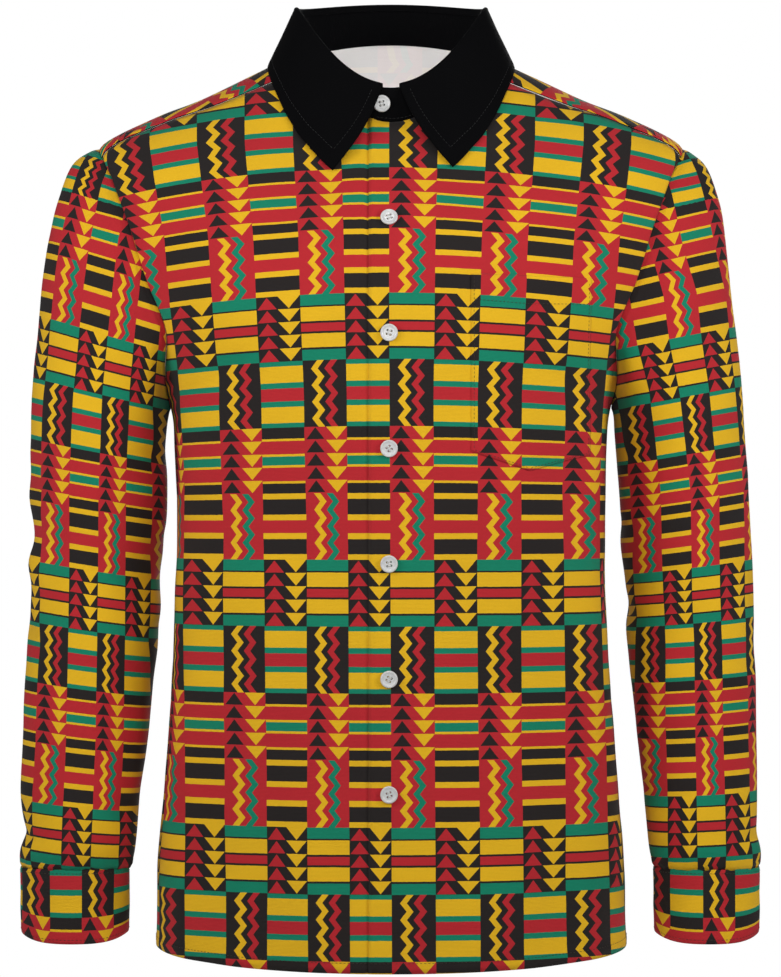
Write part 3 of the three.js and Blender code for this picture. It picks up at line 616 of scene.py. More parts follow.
# Width of a column on the wearer's left sleeve, by height
SLEEVE_COLUMN = (
    (-591, 22.4), (-394, 22), (-315, 23.1), (-236, 23.6), (-197, 25.6), (-158, 26.8), (-79, 27.8),
)
# Width of a column at the right sleeve's line, and how much each next column inward is narrower
RIGHT_COLUMN = 26
RIGHT_NARROWING = 1.97

# Soft creases seen from the front: start, end, width and depth; below zero they stand up as ridges
FRONT_CREASES = (
    (-24, -150, -21, -235, 6, 0.9), (-23, -330, -26, -470, 8, 1), (-24, -520, -22, -640, 7, 0.8),
    (24, -420, 34, -600, 15, 1.4), (62, -330, 84, -520, 18, 1.6), (-58, -300, -84, -480, 18, 1.7),
    (-96, -520, -110, -660, 15, 2), (112, -480, 128, -668, 16, 2.1),
    (-128, -330, -150, -420, 11, 1.6), (140, -300, 152, -400, 11, 1.5),
    (160, -236, 118, -214, 11, 1.3), (-160, -238, -116, -212, 11, 1.4),
    (188, -150, 172, -226, 8, 1.1), (-190, -146, -172, -228, 8, 1.2), (40, -62, 92, -104, 15, 0.9),
    (-42, -64, -90, -108, 15, 0.9), (60, -150, 57, -270, 6, 0.7), (-60, -560, -66, -676, 12, -1.2),
    (70, -570, 76, -680, 12, -1.2), (-12, -655, 40, -672, 9, 0.8),
)
BACK_CREASES = (
    (-30, -80, -46, -330, 20, 1.8), (34, -90, 52, -350, 20, 1.7), (-94, -150, -84, -420, 18, 1.6),
    (98, -160, 88, -400, 18, 1.7), (0, -360, 8, -640, 22, 2.2), (-70, -400, -96, -670, 20, 2.3),
    (74, -420, 104, -672, 20, 2.2), (-150, -240, -96, -262, 14, 1.6),
    (152, -244, 98, -258, 14, 1.5), (-150, -320, -100, -362, 15, 1.3),
    (148, -330, 104, -352, 15, 1.4), (-186, -110, -168, -226, 10, 1.3),
    (188, -112, 170, -228, 10, 1.4), (-36, -480, -40, -676, 14, -1.4),
    (40, -500, 46, -678, 14, -1.4),
)
# Soft creases of the sleeves: section, angle, half length in degrees, half width in sections, lean, depth
SLEEVE_CREASES = {
    "left": (
        (1.6, 60, 46, 0.9, 0.012, 1.4), (2.6, 130, 44, 0.8, -0.01, 1.4),
        (4.8, 150, 40, 0.5, -0.012, 1.5), (7.2, 165, 40, 0.3, -0.008, 1.9),
        (8.9, 172, 46, 0.26, -0.006, 2.2), (9.8, 20, 40, 0.3, 0.008, 1.2),
        (12.1, 155, 44, 0.3, -0.006, 1.3), (13.2, 30, 46, 0.28, 0.007, 1.3),
        (5.2, -110, 46, 0.6, 0.01, 1.8), (7.8, -95, 50, 0.34, 0.008, 2.4),
        (9.3, -80, 46, 0.3, -0.008, 2), (11.6, -120, 44, 0.32, 0.008, 1.5),
    ),
    "right": (
        (1.5, 56, 46, 0.9, 0.012, 1.5), (2.8, 132, 44, 0.8, -0.01, 1.4),
        (5, 152, 40, 0.5, -0.012, 1.5), (7.1, 20, 42, 0.22, 0.006, 1.5),
        (8.35, 14, 44, 0.2, 0.008, -1.8), (9.4, 18, 40, 0.24, 0.01, 1.6),
        (7.5, 166, 42, 0.3, -0.008, 1.8), (9.3, 170, 44, 0.28, -0.007, 2),
        (12.3, 150, 44, 0.3, -0.006, 1.4), (13.1, 16, 44, 0.26, 0.006, 1.5),
        (5.4, -108, 46, 0.6, 0.01, 1.8), (8, -92, 50, 0.34, 0.008, 2.4),
        (9.6, -84, 46, 0.3, -0.008, 2), (11.8, -118, 44, 0.32, 0.008, 1.5),
    ),
}
# Every crease is this many times as deep as its row says
CREASE_STRENGTH = 1.3


def crease_depth(x, z, creases):
    """Depth of the creases at a point seen from the front."""
    depth = 0
    for x0, z0, x1, z1, width, deep in creases:
        run = Vector((x1 - x0, z1 - z0))
        away = Vector((x - x0, z - z0))
        part = away.dot(run) / run.length_squared
        if not -0.35 < part < 1.35:
            continue
        side = (away - run * part).length / width
        if side < 2.5:
            ends = smooth(part, -0.35, 0.25) * (1 - smooth(part, 0.75, 1.35))
            depth += deep * ends * math.exp(-side * side)
    return depth * CREASE_STRENGTH


def softness(place, scale, height):
    """Slow unevenness of the cloth."""
    return height * noise.noise(Vector(place) / scale)


def print_across(x, z, beyond):
    """Count of print columns from the centre of the front."""
    width = knots(COLUMN_LEFT if x > 0 else COLUMN_RIGHT, z)
    return (x + math.copysign(beyond, x) - knots(COLUMN_START, z)) / width


def print_down(x, z):
    height = z + knots(BLOCK_DROP, max(z, -350)) * (x / 154) ** 2
    return knots(BLOCKS_DOWN, height)


def beyond_edge(angle, level):
    """Length of cloth that turns away at the side and isn't seen from the front."""
    ring = rings_at(BODY_RINGS, round(level, 4))
    depth = ring[2] if math.cos(math.radians(angle)) > 0 else ring[4]
    # Distance in depth from the side line within which the cloth turns away from view
    left = 0.38 * depth
    near = depth * abs(math.cos(math.radians(angle))) ** RING_FULLNESS
    return max(0, left - near) ** 1.5 / left**0.5


def cloth_grid(name, columns, rows, surface, inside, closed=False):
    """A cloth surface on a grid. place(s, t) gives a point and its print place; detail moves it outwards."""
    place, detail = surface
    mesh = bmesh.new()
    bmesh.ops.create_grid(mesh, x_segments=columns, y_segments=rows, size=0.5)
    layer = mesh.loops.layers.uv.new("print")
    prints, places = {}, {}
    for vertex in mesh.verts:
        s, t = vertex.co.x + 0.5, vertex.co.y + 0.5
        vertex.co, prints[vertex.index] = place(s, t)
        places[vertex.index] = (s, t)
    for face in mesh.faces:
        for loop in face.loops:
            loop[layer].uv = prints[loop.vert.index]
    mesh.normal_update()
    mesh.verts.ensure_lookup_table()
    if sum(vertex.normal.dot(vertex.co - inside(vertex.co)) for vertex in mesh.verts[:][::17]) < 0:
        bmesh.ops.reverse_faces(mesh, faces=mesh.faces[:])
        mesh.normal_update()
    normals = [vertex.normal.copy() for vertex in mesh.verts]
    if closed:
        edges = {}
        for vertex in mesh.verts:
            s, t = places[vertex.index]
            if s < 1e-4 or s > 1 - 1e-4:
                edges.setdefault(round(t, 5), []).append(vertex.index)
        for pair in edges.values():
            shared = sum((normals[at] for at in pair), Vector()).normalized()
            for at in pair:
                normals[at] = shared
    for vertex in mesh.verts:
        height = SKIN + detail(*places[vertex.index], vertex.co)
        vertex.co += normals[vertex.index] * height
    if closed:
        bmesh.ops.remove_doubles(mesh, verts=mesh.verts[:], dist=0.01)
    bmesh.ops.scale(mesh, vec=Vector((MM, MM, MM)), verts=mesh.verts[:])
    return finish_mesh(name, mesh)


def body_middle(point):
    return Vector((0, 0, point.z))


def on_surface(surface, s, t, lift=0.0):
    """A point of a finished cloth surface, lifted off it, with the outward normal."""
    place, detail = surface
    low, high = max(s - 0.003, 0), min(s + 0.003, 1)
    down, up = max(t - 0.003, 0), min(t + 0.003, 1)
    along = place(high, t)[0] - place(low, t)[0]
    rise = place(s, up)[0] - place(s, down)[0]
    normal = along.cross(rise).normalized()
    point = place(s, t)[0]
    middle = body_middle(point) if abs(point.x) < 190 else Vector((math.copysign(240, point.x), 0, point.z))
    if normal.dot(point - middle) < 0:
        normal.negate()
    return point + normal * (SKIN + detail(s, t, point) + lift), normal


def finish_mesh(name, mesh, smooth_faces=True):
    data = bpy.data.meshes.new(name)
    mesh.to_mesh(data)
    mesh.free()
    made = bpy.data.objects.new(name, data)
    bpy.context.scene.collection.objects.link(made)
    if smooth_faces:
        data.shade_smooth()
    return made


def give_thickness(made, thickness, materials, rim=0):
    """Turns a surface into cloth of real thickness, growing inwards."""
    for material in materials:
        made.data.materials.append(material)
    wall = made.modifiers.new("Thickness", "SOLIDIFY")
    wall.thickness = thickness * MM
    wall.offset = -1
    if len(materials) > 1:
        wall.material_offset = 1
        wall.material_offset_rim = rim


def settle(made, slot, *nodes):
    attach(made, "root")
    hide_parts(*nodes)


def printed_piece(made, node, thickness=CLOTH):
    """Makes a surface into printed cloth that takes the place of its solid."""
    give_thickness(made, thickness, (kente_cloth(), cloth_reverse()))
    settle(made, "kente_cloth", node)


def edge_roll(distance, depth, reach):
    """The small dip where cloth turns in at a seam."""
    return -depth * math.exp(-((distance / reach) ** 2))


def hem_step(distance):
    """The step and the line of stitching of a turned hem, by distance from its edge."""
    return 0.45 * (1 - smooth(distance, 7.2, 8.4)) + edge_roll(distance, 0.4, 1)


def front_top(part):
    """A place on a front's top edge: a third along the neckline, then down the yoke seam."""
    first = angle_at(LAP_BLEND_END, NECK_LEVEL)
    if part <= 1 / 3:
        return lerp(first, NECK_SEAM_ANGLE, part * 3), NECK_LEVEL
    part = (part - 1 / 3) * 1.5
    level = lerp(NECK_LEVEL, YOKE_FRONT_LEVEL, part) - YOKE_SEAM_SAG * math.sin(math.pi * part)
    return lerp(NECK_SEAM_ANGLE, YOKE_FRONT_ANGLE, part), level


# Share of a front's width that is its lap, share of its height below the underarm, and its side seam's length
FRONT_LAP_SHARE = 0.2
LOW_SHARE = 0.6
SIDE_LENGTH = 440


def front_body_place(s, t):
    """Angle and level on the left front; s runs from the lap's edge to the side, t from hem to top."""
    if t < LOW_SHARE:
        lap_level, rise = UNDERARM_LEVEL * t / LOW_SHARE, 0
        end = (90, lap_level)
    else:
        rise = (t - LOW_SHARE) / (1 - LOW_SHARE)
        low_z, high_z = rings_at(BODY_RINGS, UNDERARM_LEVEL)[3], rings_at(BODY_RINGS, NECK_LEVEL)[3]
        lap_level = level_where(3, round(lerp(low_z, high_z, rise), 4), UNDERARM_LEVEL, NECK_LEVEL)
        end = armhole_place("front", round(rise, 5))
    if s < FRONT_LAP_SHARE:
        x = lerp(-LAP_HALF_WIDTH, LAP_BLEND_END, s / FRONT_LAP_SHARE)
        return angle_at(x, lap_level), lap_level
    part = (s - FRONT_LAP_SHARE) / (1 - FRONT_LAP_SHARE)
    start = (angle_at(LAP_BLEND_END, lap_level), lap_level)
    top, top_first, top_last = front_top(part), front_top(0), front_top(1)
    return tuple(
        lerp(start[at], end[at], part) + rise**1.5 * (top[at] - lerp(top_first[at], top_last[at], part))
        for at in (0, 1)
    )


def front_surface(side):
    """One front: the wearer's left one laps over the right one."""
    sign = 1 if side == "left" else -1

    def place(s, t):
        angle, level = front_body_place(s, t)
        point = body_point(sign * angle, level)
        across = print_across(point.x, point.z, beyond_edge(angle, level))
        down = print_down(point.x, point.z)
        if sign < 0:
            sink = smooth(point.x, -LAP_HALF_WIDTH - 5, -LAP_HALF_WIDTH - 0.5)
            point -= body_normal(-angle, level) * LAP_SINK * sink
        return point, (across, down)

    def detail(s, t, point):
        side_edge = (1 - s) * 210
        top_edge = (1 - t) * 260 if s > 0.4 else 60
        height = edge_roll(side_edge, 0.7, 2.2) + edge_roll(top_edge, 0.5, 2)
        if sign > 0:
            lap_edge = s * 245
            height += edge_roll(lap_edge, 0.5, 1.1) + 0.3 * math.exp(-(((lap_edge - 3) / 2) ** 2))
        hem = t / LOW_SHARE * SIDE_LENGTH
        height += hem_step(hem)
        if abs(point.x) > LAP_HALF_WIDTH or sign > 0:
            height -= crease_depth(point.x, point.z, FRONT_CREASES) * smooth(hem, 0, 16)
        if sign > 0:
            for button_z in BUTTON_HEIGHTS:
                apart = math.hypot(point.x - BUTTON_X, (point.z - button_z) * 1.2)
                height -= 0.25 * math.exp(-((apart / 9) ** 2))
        away = smooth(abs(point.x), 18, 50)
        return height + softness(point, 70, 1.5) * away + softness(point, 26, 0.35)

    return place, detail


def front_cloth(side):
    made = cloth_grid(f"front_{side}_cloth", 75, 150, front_surface(side), body_middle)
    printed_piece(made, f"front_{side}")


def back_surface():
    """The back, from side seam to side seam and up to the yoke."""

    def place(s, t):
        if t < LOW_SHARE:
            level = UNDERARM_LEVEL * t / LOW_SHARE
            row = (90, level, level)
        else:
            rise = round((t - LOW_SHARE) / (1 - LOW_SHARE), 5)
            angle, level = armhole_place("back", rise)
            row = (angle, level, lerp(UNDERARM_LEVEL, YOKE_CENTRE_LEVEL, rise))
        angle = lerp(row[0], 360 - row[0], s)
        level = lerp(row[1], row[2], math.sin(math.pi * s))
        point = body_point(angle, level)
        unseen = math.copysign(beyond_edge(angle, level), point.x)
        across = 0.5 - (point.x + unseen) / BACK_COLUMN
        return point, (across, (BACK_START - point.z) / BACK_BLOCK)

    def detail(s, t, point):
        hem = t / LOW_SHARE * SIDE_LENGTH
        height = edge_roll(min(s, 1 - s) * 420, 0.7, 2.2) + edge_roll((1 - t) * 190, 0.5, 2)
        height += hem_step(hem)
        height -= crease_depth(point.x, point.z, BACK_CREASES) * smooth(hem, 0, 16)
        return height + softness(point, 80, 2) + softness(point, 28, 0.4)

    return place, detail


def back_cloth():
    made = cloth_grid("back_cloth", 130, 150, back_surface(), body_middle)
    printed_piece(made, "back")


@functools.lru_cache(maxsize=None)
def yoke_outline():
    """Places round the yoke's edge between its front seams, their shares of its length, and that length."""
    places = [yoke_end_place(at / 6) for at in range(13)]
    corner = places[-1]
    for at in range(1, 48):
        part = at / 48
        level = lerp(corner[1], YOKE_CENTRE_LEVEL, math.sin(math.pi * part))
        places.append((lerp(corner[0], 360 - corner[0], part), level))
    places += [(360 - angle, level) for angle, level in reversed(places[:13])]
    run = run_along([body_point(*place) for place in places])
    return places, [length / run[-1] for length in run], run[-1]


def yoke_place(s, t):
    places, shares, whole = yoke_outline()
    at = stretch_at(shares, s)
    part = (s - shares[at]) / (shares[at + 1] - shares[at])
    outer = [lerp(places[at][key], places[at + 1][key], part) for key in (0, 1)]
    neck = lerp(NECK_SEAM_ANGLE, 360 - NECK_SEAM_ANGLE, s)
    sag = YOKE_SEAM_SAG * max(1 - min(s, 1 - s) * whole / YOKE_SAG_REACH, 0)
    return lerp(outer[0], neck, t), lerp(outer[1], NECK_LEVEL, t) - sag * math.sin(math.pi * t)


def yoke_surface():
    """The yoke, over both shoulders, cut with its own grain."""

    def place(s, t):
        angle, level = yoke_place(s, t)
        point = body_point(angle, level)
        # The top of the shoulder falls from the neck outwards, and the print is measured over it
        slope_z = round(37 - (abs(point.x) - 72) * 0.47, 2)
        ridge_level = round(level_where(1, slope_z, SHOULDER_LEVEL, NECK_LEVEL), 3)
        ridge = rings_at(BODY_RINGS, ridge_level)[1]
        seam_y = 106 * max(1 - (point.x / 236) ** 2, 0.02) ** 0.43
        height = (min(point.z, ridge) if point.y > 0 else ridge) + 50
        back = math.hypot(max(seam_y - max(point.y, 0), 0), height)
        front = math.hypot(point.y, ridge - point.z) if point.y < 0 else 0
        outward = math.copysign(abs(point.x) * 1.05 + front * 0.45, point.x)
        return point, (outward / 38 + 0.3, (back + front * 0.9) / 60 + 0.55)

    def detail(s, t, point):
        height = 0.45 + edge_roll(t * 90, 0.55, 1.8) + edge_roll((1 - t) * 90, 0.3, 2)
        return height + softness(point, 60, 0.9)

    return place, detail


def yoke_cloth():
    made = cloth_grid("yoke_cloth", 132, 36, yoke_surface(), lambda point: Vector((point.x * 0.6, 0, -160)))
    # The yoke's cut edges take the black cotton as a painted shadow line along its seams
    give_thickness(made, CLOTH, (kente_cloth(), cloth_reverse(), black_cotton()), rim=2)
    settle(made, "kente_cloth", "yoke")


@functools.lru_cache(maxsize=None)
def armhole_loop():
    """Points round the armhole seam from the shoulder, their sleeve angles, and points tucked in beside."""
    places = [yoke_end_place(1 - at / 8) for at in range(8)]
    places += [armhole_place("front", 1 - at / 48) for at in range(48)]
    count_front = len(places)
    places += [armhole_place("back", at / 48) for at in range(48)]
    places += [yoke_end_place(2 - at / 8) for at in range(8)]
    points = [body_point(*place) for place in places]
    points.append(points[0])
    run = run_along(points)
    half = run[count_front]
    angles = [180 * length / half for length in run if length <= half]
    angles += [180 + 180 * (length - half) / (run[-1] - half) for length in run if length > half]
    tucked = []
    for angle, level in places:
        if level >= YOKE_FRONT_LEVEL:
            inside = body_point(angle, level + 0.045)
        elif abs(angle - 90) < 2:
            inside = body_point(angle, level - 0.03)
        else:
            inside = body_point(angle + math.copysign(0.5, angle - 90), level)
        tucked.append(inside - body_normal(angle, level) * 0.9)
    return points, angles, tucked + tucked[:1]


def armhole_point(angle, kind=0):
    """A point of the armhole seam (kind 0), or one tucked in under the body beside it (kind 2)."""
    loop = armhole_loop()
    points, angles = loop[kind], loop[1]
    angle %= 360
    low, high = 0, len(angles) - 1
    while high - low > 1:
        middle = (low + high) // 2
        if angles[middle] <= angle:
            low = middle
        else:
            high = middle
    return points[low].lerp(points[high], (angle - angles[low]) / (angles[high] - angles[low]))


def section_point(rows, angle, level):
    outer_x, outer_z, inner_x, inner_z, half_depth, middle_y = rings_at(rows, round(level, 4))
    cosine, sine = math.cos(math.radians(angle)), math.sin(math.radians(angle))
    depth = math.copysign(abs(sine) ** 0.94, sine)
    return Vector(
        (
            lerp(inner_x, outer_x, (1 + cosine) / 2),
            middle_y - half_depth * depth,
            lerp(inner_z, outer_z, (1 + cosine) / 2),
        )
    )


def sleeve_point(side, angle, level):
    """A point of the wearer's left or right sleeve, both laid out on the left side."""
    rows = LEFT_SLEEVE if side == "left" else RIGHT_SLEEVE
    share = 1 - smooth(level, 0, SLEEVE_SETTLE)
    point = section_point(rows, angle, level)
    point += (armhole_point(angle) - section_point(rows, angle, 0)) * share
    sink = 0
    for fold_level, fold_angle, half_width, half_length, depth in SLEEVE_FOLDS[side]:
        beside = bump(angle_between(angle, fold_angle), half_width * 2)
        sink += depth * bump(level - fold_level, half_length * 2) * beside
    middle = (section_point(rows, 0, level) + section_point(rows, 180, level)) / 2
    return point + (middle - point).normalized() * sink


def sleeve_surface(side):
    """A set-in sleeve, from the armhole seam down to the cuff."""
    sign = 1 if side == "left" else -1
    rows = LEFT_SLEEVE if side == "left" else RIGHT_SLEEVE
    outer_line = tuple((row[1], row[0]) for row in reversed(rows[4:]))

    def turned(s, t):
        return lerp(-180, 180, s), SLEEVE_LAST * t

    def columns_at(point, outer):
        """Columns of the print at a point; they crowd together where the cloth turns away outside."""
        inward = knots(SLEEVE_LINE[side], point.z) - point.x
        crowding = 0.3 * max(1 - math.sqrt(max(outer.x - point.x, 0) / 12), 0)
        if side == "left":
            return 1 - inward / knots(SLEEVE_COLUMN, point.z) + crowding
        root = math.sqrt(max(RIGHT_COLUMN**2 - 2 * RIGHT_NARROWING * inward, 0))
        return (RIGHT_COLUMN - root) / RIGHT_NARROWING - crowding

    def place(s, t):
        angle, level = turned(s, t)
        point = armhole_point(angle, 2) if t < 1e-4 else sleeve_point(side, angle, level)
        outer = sleeve_point(side, 0, level)
        across = columns_at(point, outer)
        if angle < 0:
            across = 2 * columns_at(outer, outer) - across
        inward = max(knots(outer_line, point.z) - point.x, 0)
        down = knots(SLEEVE_BLOCKS[side], point.z + knots(SLEEVE_SLOPE[side], point.z) * inward)
        if t > 1 - 1e-4:
            point.z -= 1.6
            point += (Vector((sleeve_middle(point).x, -15, point.z)) - point).normalized() * 0.9
        point.x *= sign
        return point, (across, down)

    def detail(s, t, point):
        angle, level = turned(s, t)
        height = edge_roll(level * 16, 0.9, 2.2) + 0.5 * math.exp(-(((level * 16 - 5) / 3) ** 2))
        for at, centre, half_length, half_width, lean, depth in SLEEVE_CREASES[side]:
            turn = angle_between(angle, centre)
            if abs(turn) < half_length:
                across = (level - at - lean * turn) / half_width
                fading = bump(turn, half_length) * math.exp(-across * across)
                height -= CREASE_STRENGTH * depth * fading
        gather = smooth(level, 13.9, 14.9)
        if gather:
            pleats = math.sin(math.radians(angle * 13)) + 0.6 * math.sin(math.radians(angle * 23 + 40))
            height += 0.45 * gather * pleats + edge_roll((SLEEVE_LAST - level) * 15, 0.8, 2)
        return height + softness(point, 60, 1.4) * smooth(level, 0, 2) + softness(point, 22, 0.35)

    return place, detail


def sleeve_middle(point):
    return Vector((math.copysign(235, point.x), 0, point.z))


def sleeve_cloth(side):
    made = cloth_grid(f"sleeve_{side}_cloth", 96, 170, sleeve_surface(side), sleeve_middle, closed=True)
    printed_piece(made, f"sleeve_{side}")


def cuff_surface(side):
    """A buttoned cuff that goes round the wrist and laps over its own end."""
    middle_x, top_width, low_width = CUFFS[side]
    sign = 1 if side == "left" else -1

    def place(s, t):
        angle = CUFF_LAP_ANGLE - CUFF_LAP / 2 + (360 + CUFF_LAP) * s
        left = (360 + CUFF_LAP) * (1 - s)
        inset = LAP_SINK * (1 - smooth(left, CUFF_LAP, CUFF_LAP * 1.9))
        drop = 1 - t
        half_width = lerp(top_width, low_width, drop) - inset
        cosine, sine = math.cos(math.radians(angle)), math.sin(math.radians(angle))
        point = Vector(
            (
                sign * (middle_x + half_width * cosine),
                CUFF_MIDDLE_Y - (CUFF_HALF_DEPTH - inset) * sine,
                CUFF_TOP - (CUFF_HEIGHT + CUFF_FRONT_DROP * sine - CUFF_CORNER_RISE * cosine**4) * drop,
            )
        )
        turn = angle_between(angle, 0)
        reach = math.copysign(0.8 * (1 - math.cos(math.radians(turn))) / 2 + 0.2 * abs(turn) / 180, turn)
        start, width = CUFF_COLUMN[side]
        across = (start - reach) / width if sign > 0 else (reach - start) / width + 1
        return point, (across, 0.32 + drop * CUFF_HEIGHT / 53)

    def detail(s, t, point):
        height = 0.3 + edge_roll(t * CUFF_HEIGHT, 0.35, 1.2) + edge_roll((1 - t) * CUFF_HEIGHT, 0.35, 1.4)
        height += edge_roll(s * 290, 0.35, 1.2)
        crease = math.exp(-(((t - 0.55 - 0.2 * math.sin(s * 17)) / 0.16) ** 2)) * math.sin(s * 29 + 1)
        return height + 0.35 * crease + softness(point, 24, 0.5)

    return place, detail


def cuff_cloth(side):
    made = cloth_grid(f"cuff_{side}_cloth", 130, 24, cuff_surface(side), sleeve_middle)
    printed_piece(made, f"cuff_{side}", CUFF_CLOTH)


POCKET_WIDTH = 94
POCKET_HEIGHT = 145


def pocket_surface():
    """The patch pocket, laid on the wearer's left front with its print matched."""
    front_detail = front_surface("left")[1]

    def place(s, t):
        x = lerp(POCKET["inner"], POCKET["outer"], s)
        if x < POCKET["point_x"]:
            share = (x - POCKET["inner"]) / (POCKET["point_x"] - POCKET["inner"])
        else:
            share = (POCKET["outer"] - x) / (POCKET["outer"] - POCKET["point_x"])
        low = lerp(POCKET["side"], POCKET["point"], share)
        z = lerp(low, POCKET["top"], t) - POCKET["slant"] * s
        angle, level = front_place(round(x, 3), round(z, 3))
        point = body_point(angle, level)
        across = print_across(point.x, point.z, beyond_edge(angle, level))
        return point, (across, print_down(point.x, point.z))

    def detail(s, t, point):
        edge = min(s * POCKET_WIDTH, (1 - s) * POCKET_WIDTH, t * POCKET_HEIGHT)
        top = (1 - t) * POCKET_HEIGHT
        height = 1.05 + front_detail(0.5, 0.5, point) + edge_roll(edge, 0.55, 1.1)
        height += 0.35 * (1 - smooth(top, 21, 22.5)) + edge_roll(top, 0.3, 1)
        height += 0.5 * smooth(top, 0, 30) * bump(s - 0.5, 0.5) * bump(t - 0.4, 0.5)
        pucker = math.sin(t * 61) * math.exp(-((edge / 6) ** 2))
        return height + 0.12 * pucker

    return place, detail


def pocket_cloth():
    made = cloth_grid("pocket_cloth", 48, 72, pocket_surface(), body_middle)
    printed_piece(made, "pocket")


def stand_ring_point(angle, rise, outward):
    low = ring_point(BODY_RINGS[NECK_LEVEL], angle)
    point = low.lerp(ring_point(STAND_TOP, angle), rise)
    return point + Vector((point.x, point.y, 0)).normalized() * outward


STAND_LENGTH = 480
STAND_HEIGHT = 32


def stand_surface():
    """The collar stand, whose ends lap and button at centre front."""
    end = math.degrees(math.asin(LAP_HALF_WIDTH / BODY_RINGS[NECK_LEVEL][0]))

    def place(s, t):
        angle = lerp(-end, 360 + end, s)
        sink = LAP_SINK * smooth(angle, 360 - 2.2 * end, 360 - end)
        from_end = min(s, 1 - s) * 34
        rounding = 0.3 * (1 - from_end) ** 2 if from_end < 1 else 0
        rise = lerp(-0.03, 1, t)
        return stand_ring_point(angle, rise * (1 - rounding * rise), 0.5 * (1 - t) ** 6 - sink), (s, t)

    def detail(s, t, point):
        height = 0.2 + edge_roll(t * STAND_HEIGHT, 0.3, 1.2)
        height += edge_roll(min(s, 1 - s) * STAND_LENGTH, 0.3, 1.1)
        return height + softness(point, 30, 0.3)

    return place, detail


def leaf_outer_point(angle, fall):
    turned = angle_between(angle, 0)
    side = -1 if turned < 0 else 1
    neck_angle = abs(turned)
    row = stretch_at(LEAF_ANGLES, neck_angle)
    level = row + (neck_angle - LEAF_ANGLES[row]) / (LEAF_ANGLES[row + 1] - LEAF_ANGLES[row])
    body_angle, body_level = rings_at(LEAF_EDGE, round(level, 4))
    tip = bump(neck_angle - 5, 16)
    body_angle = side * (body_angle - (1 if side > 0 else 2.2) * tip)
    body_level -= (0.2 if side > 0 else 0.32) * tip
    top = stand_ring_point(side * neck_angle, 1, 1.85)
    top.z += 0.8
    low = body_point(body_angle, body_level) + body_normal(body_angle, body_level) * 2.3
    point = top.lerp(low, fall)
    hollow = math.sin(math.pi * fall)
    near_front = 1 - smooth(neck_angle, 5, 60)
    point.x -= side * 5 * hollow * near_front
    point.y -= 2.5 * hollow * near_front
    return point


LEAF_LENGTH = 430
LEAF_DEPTH = 45
# Share of the leaf that rolls over the stand's upper edge
ROLL_SHARE = 0.16


def leaf_surface():
    """The turned-down leaf, rolled over from the stand's upper edge, with two points in front."""

    def place(s, t):
        angle = lerp(LEAF_ANGLES[0], 360 - LEAF_ANGLES[0], s)
        fall = (1 - t - ROLL_SHARE) / (1 - ROLL_SHARE)
        if fall >= 0:
            return leaf_outer_point(angle, fall), (s, t)
        turn = -fall * (1 - ROLL_SHARE) / ROLL_SHARE
        outer = leaf_outer_point(angle, 0)
        inner = stand_ring_point(angle_between(angle, 0), 0.93, -1.5)
        # Four fifths of the roll go over the top, and the last fifth goes down inside the stand
        half_turn = math.pi * min(turn * 1.25, 1)
        point = outer.lerp(Vector((inner.x, inner.y, outer.z)), (1 - math.cos(half_turn)) / 2)
        point.z += 2.2 * math.sin(half_turn)
        if turn > 0.8:
            point.z = lerp(outer.z, inner.z, (turn - 0.8) * 5)
        return point, (s, t)

    def detail(s, t, point):
        drop = t * LEAF_DEPTH
        height = edge_roll(drop, 0.4, 1.3) + edge_roll(min(s, 1 - s) * LEAF_LENGTH, 0.4, 1.3)
        height -= 0.18 * math.exp(-(((drop - 6) / 0.8) ** 2))
        return height + softness(point, 34, 0.5) * smooth(1 - t, ROLL_SHARE, 0.5)

    return place, detail


def collar_cloth():
    stand = cloth_grid("collar_stand_cloth", 170, 14, stand_surface(), body_middle)
    give_thickness(stand, COLLAR_CLOTH, (black_cotton(),))
    settle(stand, "black_collar", "collar_stand")
    surface = leaf_surface()
    leaf = cloth_grid("collar_leaf_cloth", 170, 56, surface, lambda point: Vector((0, 5, point.z - 25)))
    give_thickness(leaf, COLLAR_CLOTH, (black_cotton(),))
    settle(leaf, "black_collar", "collar_leaf")


def stitch_row(mesh, surface, line, length=2.3, pitch=3.2, thick=0.42):
    """Lays stitches along a line of (s, t) places on a surface."""
    points = [on_surface(surface, s, t, thick * 0.12) for s, t in line]
    run = run_along([point for point, _ in points])
    for number in range(int(run[-1] / pitch)):
        target = (number + 0.5) * pitch
        at = stretch_at(run, target)
        (first, normal), (second, _) = points[at], points[at + 1]
        along = (second - first).normalized()
        middle = first.lerp(second, (target - run[at]) / max(run[at + 1] - run[at], 1e-6))
        across = normal.cross(along).normalized()
        turn = Matrix((along, across, along.cross(across))).transposed().to_4x4()
        size = Matrix.Diagonal((length, thick, thick * 0.8, 1))
        bmesh.ops.create_uvsphere(
            mesh, u_segments=6, v_segments=4, radius=0.5, matrix=Matrix.Translation(middle) @ turn @ size
        )


def straight(first, last, count):
    shares = [at / count for at in range(count + 1)]
    return [(lerp(first[0], last[0], share), lerp(first[1], last[1], share)) for share in shares]


def dark_thread():
    return thread_material("dark_thread", from_screen(58, 46, 36))


def finish_stitches(name, mesh, material):
    bmesh.ops.scale(mesh, vec=Vector((MM, MM, MM)), verts=mesh.verts[:])
    made = finish_mesh(name, mesh)
    made.data.materials.append(material)
    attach(made, "root")


def body_stitching():
    mesh = bmesh.new()
    hem = 7.6 / SIDE_LENGTH * LOW_SHARE
    for side in ("left", "right"):
        surface = front_surface(side)
        stitch_row(mesh, surface, straight((0.004, hem), (0.994, hem), 120))
    stitch_row(mesh, back_surface(), straight((0.004, hem), (0.996, hem), 200))
    stitch_row(mesh, yoke_surface(), straight((0.002, 0.035), (0.998, 0.035), 240))
    finish_stitches("body_stitching", mesh, dark_thread())


